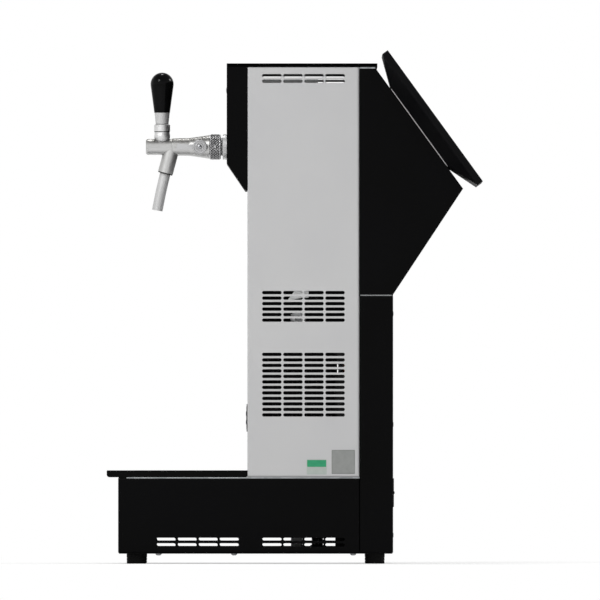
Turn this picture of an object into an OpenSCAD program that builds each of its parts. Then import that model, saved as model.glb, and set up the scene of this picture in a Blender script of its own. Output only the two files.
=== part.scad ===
// Over-counter dry beer cooler: slotted tower on a low base, compensator tap, drip tray, tilted rear screen.
// Depth runs from the base front to the rear, height from the counter, millimetres.

/* [Housing] */
// width of base, tower, column and rear housing
body_w = 280; // [272:1:296]
// base front to tower front
front_d = 181; // [176:1:186]
// depth of the tower
tower_d = 157; // [155:1:162]
// depth of the rear column
column_d = 47; // [46:1:54]
// height of the base above the feet
base_h = 105.5; // [104:0.5:110]
// height of the tower above the deck
tower_h = 574.5; // [572:0.5:582]
// height of the top lid
lid_h = 5; // [4:0.5:8]
// rear overhang of the lid behind the tower
lid_rear = 25; // [24:0.5:28]
// height of the rear column above the pan
column_h = 359.5; // [355:0.5:362]

/* [Sheet metal] */
// housing sheet thickness
sheet = 1.2; // [1:0.1:1.4]
// floor pan thickness
pan_t = 1.5; // [1.2:0.1:2]
// deck plate thickness
deck_t = 1.5; // [1.2:0.1:2]
// width of the folded returns of the side panels
fold = 12; // [11:0.5:13]
// lap of a panel behind a return
lap = 6; // [5:0.5:7]
// open seam between neighbouring sheets
seam = 0.3; // [0.2:0.05:0.4]
// outer radius of a plain fold
bend = 2; // [1.8:0.1:2.4]
// outer radius of the tower's lower and rear folds
edge_bend = 4; // [3:0.5:5]

/* [Vents] */
// slot length
slot_l = 27.2; // [24:0.2:27.6]
// slot height
slot_h = 4.7; // [4:0.1:5]
// slot end radius as a share of the slot height
slot_round = 0.48; // [0.3:0.02:0.48]
// spacing of slots along a row
slot_step = 29.5; // [28.8:0.1:30]
// spacing of rows
row_step = 7.7; // [7:0.1:8]
// slots in a row
slot_cols = 4; // [3:1:4]
// rows of the top group
top_rows = 2; // [1:1:2]
// rows of the middle group
mid_rows = 6; // [4:1:6]
// rows of the low group
low_rows = 12; // [8:1:12]
// rows of the base groups
base_rows = 2; // [1:1:2]
// height of the top group's centre above the counter
top_vent = 679.4; // [678:0.1:681]
// height of the middle group's centre
mid_vent = 360.3; // [356:0.1:364]
// height of the low group's centre
low_vent = 250.7; // [248:0.1:254]
// height of the base groups' centre
base_vent = 30.1; // [29.5:0.1:33]
// depth of the front base group's centre
base_vent_d = 110.9; // [105:0.1:115]

/* [Feet] */
// foot height
foot_h = 14; // [12:0.5:18]
// foot diameter
foot_dia = 27.6; // [25:0.2:29]
// foot centre in from the edges
foot_in = 25.5; // [24:0.5:28]
// stud radius of a foot or grommet
stud_r = 3; // [2.5:0.1:3.2]
// radius of a base screw head
screw_head_r = 4.2; // [3.8:0.1:4.6]
// height of a base screw head
screw_head_h = 2.5; // [2:0.1:3]
// base screw radius
screw_r = 2; // [1.6:0.1:2.2]

/* [Drip tray] */
// overhang in front of the base
tray_over = 16; // [12:0.5:20]
// height of the tray rim
tray_h = 9.4; // [9:0.2:11]
// tray wall
tray_t = 1.5; // [1.2:0.1:2]
// rim at the front
rim_front = 38; // [36:0.5:42]
// rim at the sides
rim_side = 20; // [19:0.5:23]
// rim at the rear
rim_rear = 8; // [7.5:0.5:10]
// ledge carrying the grid
tray_ledge = 6; // [5:0.5:7]
// depth of the basin below the rim
tray_deep = 44; // [38:0.5:48]
// grid thickness
grid_t = 1.8; // [1.5:0.1:2]
// grid top below the rim
grid_low = 0.9; // [0.5:0.1:1.1]
// grid bar
grid_bar = 4; // [3.5:0.1:5]
// grid opening
grid_gap = 6; // [5:0.1:7]
// rows of grid openings
grid_rows = 3; // [2:1:4]

/* [Head] */
// depth of the head in front of the tower
head_d = 29; // [27:0.5:32]
// height of the head below the lid
head_h = 172.5; // [170:0.5:178]
// height of the straight front
head_front_h = 135; // [132:0.5:138]
// flat under the head
head_flat = 3.5; // [3:0.1:5]
// head sheet
head_t = 1.5; // [1.2:0.1:1.8]
// lamp dome radius
lamp_r = 5.5; // [4.5:0.1:6]
// lamp dome height
lamp_h = 1.3; // [1:0.1:2]
// lamp centre below the lid
lamp_low = 31; // [28:0.5:40]

/* [Rear housing and screen] */
// slope start behind the tower
slope_start = 23; // [22:0.5:26]
// slope below the horizontal
slope_deg = 54; // [53:0.5:56]
// length of the slope
slope_l = 207.5; // [203:0.5:210]
// gap under the lid, filled by a folded flange
top_gap = 2.5; // [2:0.1:4]
// seam between column and housing, filled by a folded flange
mid_gap = 1.8; // [1.6:0.1:3]
// screen width
screen_w = 376; // [360:1:390]
// screen height
screen_h = 226.6; // [220:0.2:230]
// overhang of the screen above the slope
screen_up = 11; // [10:0.5:14]
// depth of the screen's straight edge
screen_edge = 9.2; // [8:0.1:13]
// depth of the screen's tapered back
screen_back_d = 17.7; // [14:0.1:19]
// width of the taper
screen_taper = 46; // [40:0.5:48]
// screen wall
screen_t = 2; // [1.8:0.1:2.4]
// glass thickness
glass_t = 2; // [1.6:0.1:2.2]
// mounting plate thickness
mount_t = 1.2; // [1:0.1:2.5]
// half pitch of the mounting screws
mount_pitch = 50; // [40:1:52]
// head height of a mounting screw
mount_head = 3; // [2:0.1:3.5]
// reach of a mounting screw into the screen's boss
mount_reach = 5; // [4:0.1:6]

/* [Tap] */
// tap axis below the lid
tap_low = 110.6; // [109:0.1:114]
// shank radius
shank_r = 12; // [11.8:0.1:12.2]
// flange radius of the shank
flange_r = 17.85; // [17.6:0.05:18.5]
// flange thickness of the shank
flange_t = 6; // [4:0.1:7]
// bore of the shank
shank_bore = 5; // [4:0.1:6]
// length of the shank inside the cold block
shank_in = 8; // [6:0.5:9]
// free thread between flange and nut
thread_show = 2.6; // [2.5:0.1:4]
// union nut length
nut_l = 16; // [15:0.1:17]
// lip of the union nut
nut_lip = 4; // [3.6:0.1:4.4]
// plain band at each end of the union nut
nut_band = 1.5; // [1:0.1:2]
// depth of the union nut's recess
nut_recess = 2; // [1.8:0.1:2.4]
// spanner hole radius in the union nut
spanner_r = 2; // [1.6:0.1:2.2]
// body length in front of the nut
body_l = 89.2; // [88:0.2:91]
// body radius at the front
body_r = 11.2; // [11:0.05:11.4]
// radius of the body behind the handle
waist_r = 12; // [11.8:0.1:12.4]
// radius of the rear cone's front end
cone_r0 = 12.5; // [12.2:0.1:13]
// radius of the rear cone's rear end
cone_r1 = 16.5; // [16:0.1:17]
// length of the rear cone
cone_l = 28; // [27:0.5:29]
// chamfer of the body's front edge
body_edge = 2; // [1:0.1:2.4]
// piston bore radius
bore_r = 7.5; // [7.4:0.05:7.6]
// front wall of the piston bore
bore_start = 5; // [4.5:0.1:5.5]
// valve chamber radius
chamber_r = 9; // [8.9:0.05:9.2]
// valve seat behind the body front
seat_d = 47; // [46.6:0.1:47.4]
// valve seat thickness
seat_t = 4; // [3.6:0.1:4.2]
// width of the valve seat's ring
seat_in = 2.5; // [2:0.1:2.8]
// handle axis behind the body front
handle_d = 22.7; // [22.2:0.1:23.2]
// spout axis behind the body front
spout_d = 37.1; // [36.6:0.1:37.6]
// pivot of the ball lever above the tap axis
pivot_h = 15; // [14.8:0.1:15.2]
// ball radius of the lever
ball_r = 11.2; // [11:0.05:11.3]
// flat under the ball
ball_flat = 2; // [1.6:0.1:2.2]
// neck radius of the lever
neck_r = 10.6; // [10.4:0.05:10.7]
// running gap of the ball and the piston
run_gap = 0.3; // [0.25:0.05:0.35]
// pin radius of the lever
pin_r = 2.2; // [2:0.1:2.3]
// radius of the pin's ball end
pin_ball = 2.8; // [2.6:0.1:2.9]
// gap of the ball end in the piston's slot
pin_gap = 0.7; // [0.65:0.05:0.8]
// neck top above the tap axis
neck_top = 22; // [21.5:0.1:22.5]
// spigot between the lever's neck and the collar
spigot_h = 1; // [0.8:0.1:1.2]
// collar top above the tap axis
collar_top = 32; // [31:0.1:34]
// ferrule top above the tap axis
ferrule_top = 48.2; // [48:0.1:50]
// knob top above the tap axis
knob_top = 104.5; // [103:0.5:110]
// collar radius
collar_r = 11.25; // [11:0.05:11.6]
// chamfer of the collar's top
collar_edge = 1.5; // [1:0.1:2]
// ferrule radius at its lower end
ferrule_r0 = 9.05; // [8.8:0.05:9.3]
// ferrule radius at its upper end
ferrule_r1 = 10.7; // [10.4:0.05:11]
// knob radius at its lower end
knob_r0 = 11.05; // [10.8:0.05:11.4]
// knob radius of its rounded top
knob_r1 = 16.3; // [16:0.1:17]
// stud radius of the handle
handle_stud = 4; // [3.5:0.1:4.5]
// length of the stud inside the knob
stud_in = 20; // [16:1:24]
// spout boss radius
boss_r = 10.7; // [10.5:0.05:10.8]
// spout boss length
boss_l = 37.8; // [36:0.2:40]
// spout boss tilt
spout_tilt = 15; // [14:0.5:16]
// spout tube radius
spout_r = 7.5; // [7.2:0.05:7.8]
// spout tube wall
spout_wall = 1.2; // [1:0.1:1.4]
// free length of the spout
spout_l = 54; // [50:0.5:56]
// total bend of the spout
spout_bend = 5; // [4:0.5:6]
// depth of the spout in its boss
spout_in = 8; // [7:0.5:9]

/* [Piston and compensator] */
// piston front behind the body front
piston_d = 7; // [6.5:0.1:7.4]
// piston web behind the slot
piston_web = 1.5; // [1.4:0.1:1.8]
// floor of the slot's forward relief above the axis
relief_h = 2; // [1.6:0.1:2.4]
// piston rod radius
rod_r = 2.5; // [2.2:0.1:2.7]
// valve disc length
valve_l = 4; // [3.5:0.1:4.2]
// taper of the valve disc
valve_in = 2; // [1.5:0.1:2.5]
// compensator shaft behind the body front
comp_d = 75.6; // [75.2:0.1:76]
// compensator shaft radius
comp_shaft = 3; // [2.8:0.1:3.1]
// compensator hub radius
comp_hub = 10; // [9.6:0.1:10.4]
// compensator hub thickness
comp_hub_t = 4; // [3.6:0.1:5]
// lever length
comp_l = 33; // [30:0.5:35]
// lever height at the tip
comp_tip = 8.4; // [7:0.1:9]
// lever height at the root
comp_root = 5; // [4:0.1:6]
// lever thickness
comp_t = 3; // [2.6:0.1:3.4]
// slant of the lever's tip
comp_slant = 1.5; // [1:0.1:2]
// throw of the eccentric pin
comp_throw = 2.5; // [2.3:0.1:2.5]
// radius of the eccentric pin
comp_pin = 1.5; // [1.4:0.1:1.5]
// length of the eccentric pin
comp_pin_l = 6; // [5:0.1:6.5]
// boss face to the side of the tap axis
comp_face = 17.5; // [17.2:0.1:18]
// cone length in front of the shaft
cone_front = 8; // [7:0.1:8.4]
// cone length behind the shaft
cone_back = 11; // [10:0.1:11.5]
// cone radius lost at its front
cone_taper = 3; // [2.5:0.1:3.2]
// play of the eccentric pin along its slot
cone_play = 0.9; // [0.85:0.05:0.95]

/* [Control and power] */
// control plate height
plate_h = 38.7; // [36:0.1:40]
// control plate width
plate_w = 78; // [76:0.5:80]
// control plate standing proud
plate_t = 1.3; // [1:0.1:1.6]
// control plate centre above the deck
plate_up = 83.3; // [81:0.1:86]
// control body width
ctrl_w = 71; // [68:0.5:72]
// control body height
ctrl_h = 29; // [27:0.5:30]
// control body depth
ctrl_d = 54; // [48:0.5:56]
// inlet plate height
inlet_h = 39.9; // [38:0.1:42]
// inlet plate width
inlet_w = 60; // [58:0.5:62]
// inlet plate thickness
inlet_t = 1.2; // [1:0.1:1.5]
// inlet plate's lower edge above the counter
inlet_up = 79.5; // [76:0.5:84]
// inlet plate centre to the side
inlet_x = 95; // [93:0.5:97]
// inlet plate's lip around its body
inlet_lip = 4.5; // [4:0.1:5]
// depth of the inlet body
inlet_d = 30; // [28:0.5:32]
// socket width
socket_w = 24; // [23:0.5:25]
// socket height
socket_h = 17; // [16:0.5:18]
// pitch of the socket's blades
blade_pitch = 7; // [6.5:0.1:7.5]
// blade thickness
blade_t = 2; // [1.8:0.1:2.2]
// blade height
blade_h = 8; // [7:0.1:9]
// blade ends below the plate
blade_low = 4; // [3:0.1:5]
// rocker radius
rocker_r = 9.6; // [9:0.1:9.8]
// rocker width
rocker_w = 11; // [10:0.1:12]
// rocker travel
rocker_deg = 14; // [12:1:16]
// depth of the rocker's two faces
rocker_face = 1.2; // [1:0.1:1.4]
// rocker back behind its axis
rocker_back = 3; // [2.5:0.1:3.5]

/* [Compressor] */
// compressor shell radius
comp_shell = 69; // [66:0.5:70]
// compressor centre behind the tower front
shell_d = 120; // [118:0.5:122]
// half pitch of the compressor's mounts
foot_pitch = 51; // [50:0.5:52]
// shell underside above the pan
shell_low = 28.5; // [28:0.5:30]
// shell seam above the pan
shell_mid = 92; // [88:0.5:96]
// shell top above the pan
shell_top = 168; // [164:0.5:170]
// thickness of the welded seam
weld_t = 4; // [3:0.5:5]
// seam standing out of the shell
weld_out = 2; // [1.5:0.1:2.5]
// straight height of the shell's cap
cap_h = 30; // [28:0.5:34]
// cap set in from the shell
cap_in = 3; // [2:0.1:4]
// foot plate below the shell
sole_low = 8; // [7:0.5:9]
// foot plate thickness
sole_t = 3; // [2.5:0.1:4]
// relay cover above the pan
relay_low = 6; // [5:0.5:8]
// relay cover height
relay_h = 78; // [70:1:80]
// relay cover standing out of the shell
relay_out = 24; // [22:0.5:26]
// relay cover width
relay_w = 34; // [30:0.5:36]
// relay cover behind the compressor centre
relay_d = 3; // [2:0.5:5]
// wall of the pipe stubs
stub_wall = 2; // [1.5:0.1:2.5]
// pipe stubs above the shell top
stub_up = 6; // [5:0.5:8]
// depth of a pipe inside the shell's stub
pipe_in = 7; // [6:0.5:8]
// grommet radius
grommet_r = 8; // [7.6:0.1:9]
// grommet neck radius in the foot plate
grommet_neck = 7; // [6.5:0.1:7.2]
// grommet flare at the pan
grommet_flare = 2; // [1.5:0.1:2.5]
// grommet cap thickness
grommet_cap = 2; // [1.5:0.1:3]
// stud ends above the grommet
stud_out = 2; // [1.5:0.1:3]

/* [Condenser and fan] */
// condenser tray height above the deck
cond_up = 81; // [80:0.5:82]
// condenser behind the tower front
cond_front = 8; // [7.5:0.1:8.5]
// condenser height
cond_h = 96; // [94:0.5:97]
// condenser thickness
cond_w = 32; // [31:0.5:33]
// condenser length
cond_l = 116; // [114:0.5:117]
// number of fins
fins = 18; // [14:1:20]
// fin thickness
fin_t = 0.8; // [0.6:0.1:1]
// condenser tubes
tubes = 4; // [3:1:4]
// condenser tube radius
tube_r = 4.2; // [4:0.1:4.4]
// spacing of the condenser tubes
tube_step = 24; // [23:0.5:25]
// upper tubes behind the fan shroud
tube_in = 13; // [12.5:0.1:13.5]
// lowest tube further out than the others
tube_out = 13; // [12.5:0.1:13.5]
// tube ends beyond the fins
tube_end = 1.5; // [1:0.1:2]
// tube stubs at the pipe joints
tube_stub = 4; // [3:0.1:4]
// fan opening radius
fan_r = 42; // [40:0.5:42.5]
// wall of the fan ring
ring_t = 1.5; // [1.2:0.1:2]
// fan blade radius
blade_r = 38; // [36:0.5:38.5]
// fan hub radius
hub_r = 12; // [11:0.5:13]
// fan hub length
hub_l = 12; // [11:0.5:12.5]
// number of fan blades
blades = 5; // [4:1:6]
// fan blade sheet
vane_t = 1.5; // [1.2:0.1:2]
// fan blade chord
vane_w = 22; // [18:0.5:23]
// fan blade pitch
vane_deg = 35; // [32:1:38]
// fan motor radius
motor_r = 18; // [16:0.5:19]
// fan motor length
motor_l = 28; // [26:0.5:30]
// fan shaft radius
shaft_r = 2; // [1.8:0.1:2.2]
// running fit of the fan shaft
shaft_fit = 0.05; // [0.02:0.01:0.08]
// motor strut reach beyond the fan opening
strut_out = 6; // [5.5:0.1:6.5]
// motor strut thickness
strut_t = 3; // [2.5:0.1:4]
// motor strut width
strut_w = 6; // [5:0.1:7]
// radius of the motor's posts
post_r = 2; // [1.8:0.1:2.4]

/* [Electrics box] */
// box above the condenser
box_up = 10; // [9:0.5:11]
// box behind the tower front
box_front = 18; // [16:0.5:24]
// box side nearest the middle
box_x = 60; // [58:0.5:62]
// box width
box_w = 40; // [38:0.5:42]
// box height
box_h = 74; // [70:0.5:76]
// height of the box lid
box_lid = 12; // [10:0.5:14]
// groove under the box lid
box_groove = 2; // [1.5:0.1:2.5]

/* [Cold block] */
// block shelf height above the deck
shelf_up = 277; // [276:0.5:278]
// shelf behind the insulation
shelf_over = 20; // [16:0.5:22]
// insulation height
foam_h = 279.5; // [278:0.5:281]
// insulation depth
foam_d = 96; // [95:0.5:97]
// insulation's clearance to the housing sides
foam_gap = 16; // [15.5:0.5:18]
// insulation wall
foam_wall = 20; // [19:0.5:21]
// insulation lid thickness
foam_lid = 24; // [22:0.5:26]
// plug under the insulation lid
plug_h = 6; // [5:0.5:8]
// beer port above the insulation's foot
port_beer = 240; // [226:1:242]
// suction port above the insulation's foot
port_suct = 200; // [190:1:204]
// capillary port above the insulation's foot
port_cap = 150; // [140:1:160]
// depth of a port inside the block
port_in = 6; // [5:0.5:8]

/* [Pipes] */
// beer line radius
beer_r = 4.75; // [4.5:0.05:5]
// suction pipe radius
suction_r = 4; // [3.6:0.1:4.4]
// discharge pipe radius
hot_r = 3; // [2.6:0.1:3.2]
// capillary radius
capillary_r = 1.5; // [1.2:0.1:1.8]
// pipe bend radius
pipe_bend = 14; // [13:0.5:14.5]
// joint gap of a pipe in its socket
pipe_fit = 0.05; // [0.03:0.01:0.08]
// filter drier radius
drier_r = 9; // [8:0.2:9.6]
// filter drier length
drier_l = 60; // [55:1:62]
// length of the drier's tapered ends
drier_end = 8; // [6:0.5:10]
// beer inlet to the left of the middle
beer_x = 88; // [86:0.5:90]
// beer inlet behind the tower front
beer_d = 98; // [96:0.5:100]
// beer riser in front of the tower's rear
rise_in = 25; // [24:0.5:26]
// beer inlet's neck radius
inlet_neck = 8; // [7.6:0.1:8.4]
// beer inlet above the pan
inlet_rise = 30; // [28:0.5:32]
// beer inlet's flange on the pan
inlet_nut = 10; // [8:0.5:12]
// beer line inside its inlet
line_in = 12; // [10:0.5:13]
// stop ring inside the beer inlet
inlet_stop = 1.5; // [1:0.1:2]
// beer line above its inlet's socket
line_up = 20; // [18:0.5:22]
// suction pipe to the right of the middle
x_suct = 45; // [43:0.5:47]
// suction pipe in front of the tower's rear
suct_in = 19; // [18.5:0.1:19.5]
// discharge pipe to the right of the middle
x_hot = 10; // [8:0.5:14]
// discharge pipe in front of the tower's rear
hot_in = 7; // [6.6:0.1:7.4]
// capillary port to the right of the middle
x_cap = 70; // [66:0.5:74]
// drier in front of the tower's rear
liq_in = 15; // [14.6:0.1:15.4]

/* [Hidden] */
$fn = 48;
cut = 1;
hw = body_w / 2;
z_pan = foot_h + pan_t;
z_deck0 = foot_h + base_h;
z_deck = z_deck0 + deck_t;
z_top = z_deck + tower_h;
z_col = z_pan + column_h;
z_house0 = z_col + mid_gap;
z_house1 = z_top - top_gap;
u_tow0 = front_d;
u_tow1 = front_d + tower_d;
u_col = u_tow1 + column_d;
u_head = u_tow0 - head_d;
u_mid_tow = u_tow0 + tower_d / 2;
in_w = hw - fold - seam;
// base screws clear of the slots on both sides
screw_u = [base_vent_d - 1.85 * slot_step, base_vent_d + 1.75 * slot_step, u_tow1 - 0.75 * fold];
// rear housing corners: slope start, apex, lower rear
slope_u = u_tow1 + slope_start;
apex_u = slope_u + slope_l * cos(slope_deg);
apex_z = z_house1 - slope_l * sin(slope_deg);
under_l = norm([apex_u - u_col, apex_z - z_house0]);
under_deg = atan2(z_house0 - apex_z, u_col - apex_u);
screen_mid = screen_h / 2 - screen_up;
screen_n = mount_t + screen_back_d + screen_edge;
// whole outline, so that the origin is the middle of its footprint
u_rear = slope_u + (screen_h - screen_up) * cos(slope_deg) + screen_n * sin(slope_deg);
u_zero = (u_rear - tray_over) / 2;
// tap
z_tap = z_top - tap_low;
u_nut1 = u_head - flange_t - thread_show;
u_nut0 = u_nut1 - nut_l;
u_body = u_nut0 - body_l;
u_handle = u_body + handle_d;
u_spout = u_body + spout_d;
u_comp = u_body + comp_d;
z_pivot = z_tap + pivot_h;
u_step = u_nut1 - (nut_l - nut_lip) / 3;
u_seat = u_body + seat_d;
u_valve = u_seat + seat_t;
z_ball = z_pivot - ball_r + ball_flat;
z_neck = z_tap + neck_top - spigot_h;
// inlet and rocker
z_inlet = inlet_up + inlet_h / 2;
x_sock = inlet_x - inlet_w / 5;
x_rock = inlet_x + inlet_w / 4;
u_rock = u_col + inlet_t - rocker_r;
// tray
u_basin0 = rim_front - tray_over;
u_basin1 = u_tow0 - seam - rim_rear;
x_basin = hw - rim_side;
z_rim = z_deck + tray_h;
z_grid = z_rim - grid_low - grid_t;
z_basin = z_rim - tray_deep;
// cooling
u_shell = u_tow0 + shell_d;
z_shell0 = z_pan + shell_low;
z_sole = z_shell0 - sole_low;
z_stub = z_pan + shell_top + stub_up;
z_joint = z_pan + shell_top - pipe_in;
z_tray = z_deck + cond_up;
z_cond = z_tray + pan_t;
u_cond0 = u_tow0 + cond_front;
u_cond1 = u_cond0 + cond_l;
x_cond = hw - fold - cond_w;
u_fan = u_cond0 + cond_l / 2;
z_fan = z_cond + cond_h / 2;
fan_x = x_cond - sheet - fold;
x_tube = x_cond + tube_in;
x_liq = x_tube + tube_out;
z_tube0 = z_fan - (tubes - 1) / 2 * tube_step;
z_tube1 = z_fan + (tubes - 1) / 2 * tube_step;
z_box = z_cond + cond_h + box_up;
z_shelf = z_deck + shelf_up;
z_foam = z_shelf + pan_t;
z_lid0 = z_foam + foam_h - foam_lid;
u_foam0 = u_tow0 + 2 * sheet + seam;
u_foam1 = u_foam0 + foam_d;
x_foam = hw - foam_gap;
x_block = x_foam - foam_wall - shank_in / 2;
// pipes
u_beer = u_tow0 + beer_d;
x_beer = -beer_x;
u_rise = u_tow1 - rise_in;
u_suct = u_tow1 - suct_in;
u_hot = u_tow1 - hot_in;
u_liq = u_tow1 - liq_in;
z_beer = z_foam + port_beer;
z_suct = z_foam + port_suct;
z_cap = z_foam + port_cap;
u_in = u_foam1 - foam_wall - port_in;

// puts a drawing made from the base front into the part's own frame
module placed() {
    translate([0, -u_zero, 0]) children();
}

// sheet standing across the width, drawn in depth and height
module across_x(x0, t) {
    translate([x0, 0, 0]) rotate([90, 0, 90]) linear_extrude(t) children();
}

// sheet facing the front, drawn in width and height
module across_y(u0, t) {
    translate([0, u0 + t, 0]) rotate([90, 0, 0]) linear_extrude(t) children();
}

// flat sheet, drawn in width and depth
module flat(z0, t) {
    translate([0, 0, z0]) linear_extrude(t) children();
}

module rect(a0, b0, a1, b1) {
    translate([a0, b0]) square([a1 - a0, b1 - b0]);
}

module both_sides() {
    children();
    mirror([1, 0, 0]) children();
}

module rod_x(x0, x1, u, z, r) {
    translate([x0, u, z]) rotate([0, 90, 0]) cylinder(h = x1 - x0, r = r);
}

module rod_y(x, u0, u1, z, r) {
    translate([x, u0, z]) rotate([-90, 0, 0]) cylinder(h = u1 - u0, r = r);
}

module cone_y(u0, u1, z, r0, r1) {
    translate([0, u0, z]) rotate([-90, 0, 0]) cylinder(h = u1 - u0, r1 = r0, r2 = r1);
}

module rod_z(x, u, z0, z1, r) {
    translate([x, u, z0]) cylinder(h = z1 - z0, r = r);
}

// what a rounded corner takes off, for a corner pointing up and right
module corner_off(r) {
    translate([-r, -r]) difference() {
        square(r + cut);
        circle(r);
    }
}

module round_rect(a0, b0, a1, b1, r) {
    difference() {
        rect(a0, b0, a1, b1);
        translate([a1, b1]) corner_off(r);
        translate([a1, b0]) mirror([0, 1]) corner_off(r);
        translate([a0, b1]) mirror([1, 0]) corner_off(r);
        translate([a0, b0]) mirror([0, 1]) mirror([1, 0]) corner_off(r);
    }
}

// punched vent slots about a centre
module slots(a, b, cols, rows) {
    for (i = [0 : cols - 1]) {
        for (j = [0 : rows - 1]) {
            translate([a + (i - (cols - 1) / 2) * slot_step, b + (j - (rows - 1) / 2) * row_step])
                round_rect(-slot_l / 2, -slot_h / 2, slot_l / 2, slot_h / 2, slot_round * slot_h);
        }
    }
}

// half profile of a folded side panel with two rounded outer edges
module fold_profile(b0, b1, r0, r1, t) {
    difference() {
        rect(hw - fold - (t > 0 ? cut : 0), b0 + t, hw - t, b1 - t);
        translate([hw - t, b0 + t]) mirror([0, 1]) corner_off(r0 - t);
        translate([hw - t, b1 - t]) corner_off(r1 - t);
    }
}

module folded_block(u0, u1, z0, z1, rf, rr, rb, rt, t) {
    intersection() {
        flat(z0 + t, z1 - z0 - 2 * t) fold_profile(u0, u1, rf, rr, t);
        across_y(u0 + t, u1 - u0 - 2 * t) fold_profile(z0, z1, rb, rt, t);
    }
}

// side panel folded inwards on all four edges, right hand
module folded_side(u0, u1, z0, z1, rf, rr, rb, rt) {
    difference() {
        folded_block(u0, u1, z0, z1, rf, rr, rb, rt, 0);
        folded_block(u0, u1, z0, z1, rf, rr, rb, rt, sheet);
    }
}

// flush panel between two side panels, lapped behind their returns; dir is 1 for a front and -1 for a rear
module flush_panel(u, dir, z0, z1) {
    across_y(dir > 0 ? u : u - sheet, sheet) rect(-in_w, z0, in_w, z1);
    both_sides() across_y(dir > 0 ? u + sheet : u - 2 * sheet, sheet)
        rect(in_w - lap, z0 + fold, in_w + lap, z1 - fold);
}

module base_pan() {
    color("#1c1c1e") placed() flat(foot_h, pan_t) difference() {
        rect(-hw + cut, cut, hw - cut, u_col - cut);
        both_sides() {
            for (u = [foot_in, u_col - foot_in]) {
                translate([hw - foot_in, u]) circle(stud_r + seam);
            }
            for (u = [u_shell - foot_pitch, u_shell + foot_pitch]) {
                translate([foot_pitch, u]) circle(stud_r + seam);
            }
            for (u = screw_u) {
                translate([hw - fold / 2, u]) circle(screw_r + seam);
            }
        }
        translate([x_beer, u_beer]) circle(inlet_neck + seam);
    }
}

module base_side() {
    difference() {
        folded_side(0, u_tow1, z_pan, z_deck0, bend, bend, bend, bend);
        across_x(hw - 2 * sheet, 3 * sheet) {
            slots(base_vent_d, base_vent, slot_cols, base_rows);
            slots(u_mid_tow, base_vent, slot_cols, base_rows);
        }
        for (u = screw_u) {
            rod_z(hw - fold / 2, u, z_pan - cut, z_pan + fold / 2, screw_r + seam);
        }
    }
}

module base_side_right() {
    color("#161617") placed() base_side();
}

module base_side_left() {
    color("#161617") placed() mirror([1, 0, 0]) base_side();
}

module base_front() {
    color("#161617") placed() {
        flush_panel(0, 1, z_pan, z_deck0);
        flat(z_deck0 - sheet, sheet) rect(-in_w, 0, in_w, fold);
        flat(z_pan, sheet) rect(-in_w, 0, in_w, fold);
    }
}

module base_deck() {
    color("#b9bcbe") placed() flat(z_deck0, deck_t) difference() {
        rect(-hw + seam, fold, hw - seam, u_tow1);
        round_rect(-x_basin + tray_ledge - tray_t - seam, u_basin0 + tray_ledge - tray_t - seam,
            x_basin - tray_ledge + tray_t + seam, u_basin1 - tray_ledge + tray_t + seam, tray_ledge);
        rect(-x_basin, u_tow0 + fold, x_basin, u_tow1 + cut);
    }
}

module foot() {
    difference() {
        union() {
            cylinder(h = foot_h, r1 = foot_dia / 2 - seam, r2 = foot_dia / 2);
            cylinder(h = z_pan + 2 * stud_r, r = stud_r);
        }
        translate([0, 0, -cut]) cylinder(h = foot_h / 2, r = foot_dia / 4);
    }
}

module feet() {
    color("#0c0c0c") placed() both_sides() {
        for (u = [foot_in, u_col - foot_in]) {
            translate([hw - foot_in, u, 0]) foot();
        }
    }
}

module base_screws() {
    dome = (screw_head_r * screw_head_r + screw_head_h * screw_head_h) / (2 * screw_head_h);
    color("#2a2a2c") placed() both_sides() {
        for (u = screw_u) {
            translate([hw - fold / 2, u, foot_h]) {
                cylinder(h = pan_t + sheet + 2 * screw_r, r = screw_r);
                intersection() {
                    translate([0, 0, dome - screw_head_h]) sphere(dome);
                    translate([0, 0, -screw_head_h]) cylinder(h = screw_head_h, r = screw_head_r + cut);
                }
            }
        }
    }
}

module drip_tray() {
    x_in = x_basin - tray_ledge;
    u_in0 = u_basin0 + tray_ledge;
    u_in1 = u_basin1 - tray_ledge;
    color("#141415") placed() difference() {
        union() {
            intersection() {
                flat(z_deck, tray_h) rect(-hw, -tray_over, hw, u_tow0 - seam);
                across_x(-hw, 2 * hw) difference() {
                    rect(-tray_over, z_deck, u_tow0 - seam, z_rim);
                    translate([-tray_over, z_deck]) mirror([0, 1]) mirror([1, 0]) corner_off(2 * bend);
                    translate([u_tow0 - seam, z_deck]) mirror([0, 1]) corner_off(bend);
                }
            }
            flat(z_basin, tray_deep)
                round_rect(-x_in - tray_t, u_in0 - tray_t, x_in + tray_t, u_in1 + tray_t, tray_ledge);
        }
        flat(z_basin + tray_t, tray_deep) round_rect(-x_in, u_in0, x_in, u_in1, tray_ledge - tray_t);
        flat(z_grid, tray_deep) round_rect(-x_basin, u_basin0, x_basin, u_basin1, tray_ledge);
        flat(z_deck - cut, z_grid - tray_t - z_deck + cut) difference() {
            rect(-hw + tray_t, tray_t - tray_over, hw - tray_t, u_tow0 - seam - tray_t);
            rect(-x_basin - tray_t, u_basin0 - tray_t, x_basin + tray_t, u_basin1 + tray_t);
        }
    }
}

module drip_grid() {
    step = grid_bar + grid_gap;
    long = 2 * x_basin - 2 * seam;
    bars = floor((long - 4 * grid_bar) / step);
    first = u_basin0 + seam + grid_bar;
    row = (u_basin1 - u_basin0 - 2 * seam - (grid_rows + 1) * grid_bar) / grid_rows;
    color("#c8cacc") placed() flat(z_grid, grid_t) difference() {
        round_rect(-x_basin + seam, u_basin0 + seam, x_basin - seam, u_basin1 - seam, tray_ledge - seam);
        for (i = [0 : bars - 1]) {
            for (j = [0 : grid_rows - 1]) {
                translate([(i - (bars - 1) / 2) * step, first + row / 2 + j * (row + grid_bar)])
                    round_rect(-grid_gap / 2, -row / 2, grid_gap / 2, row / 2, grid_gap / 3);
            }
        }
    }
}

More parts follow.
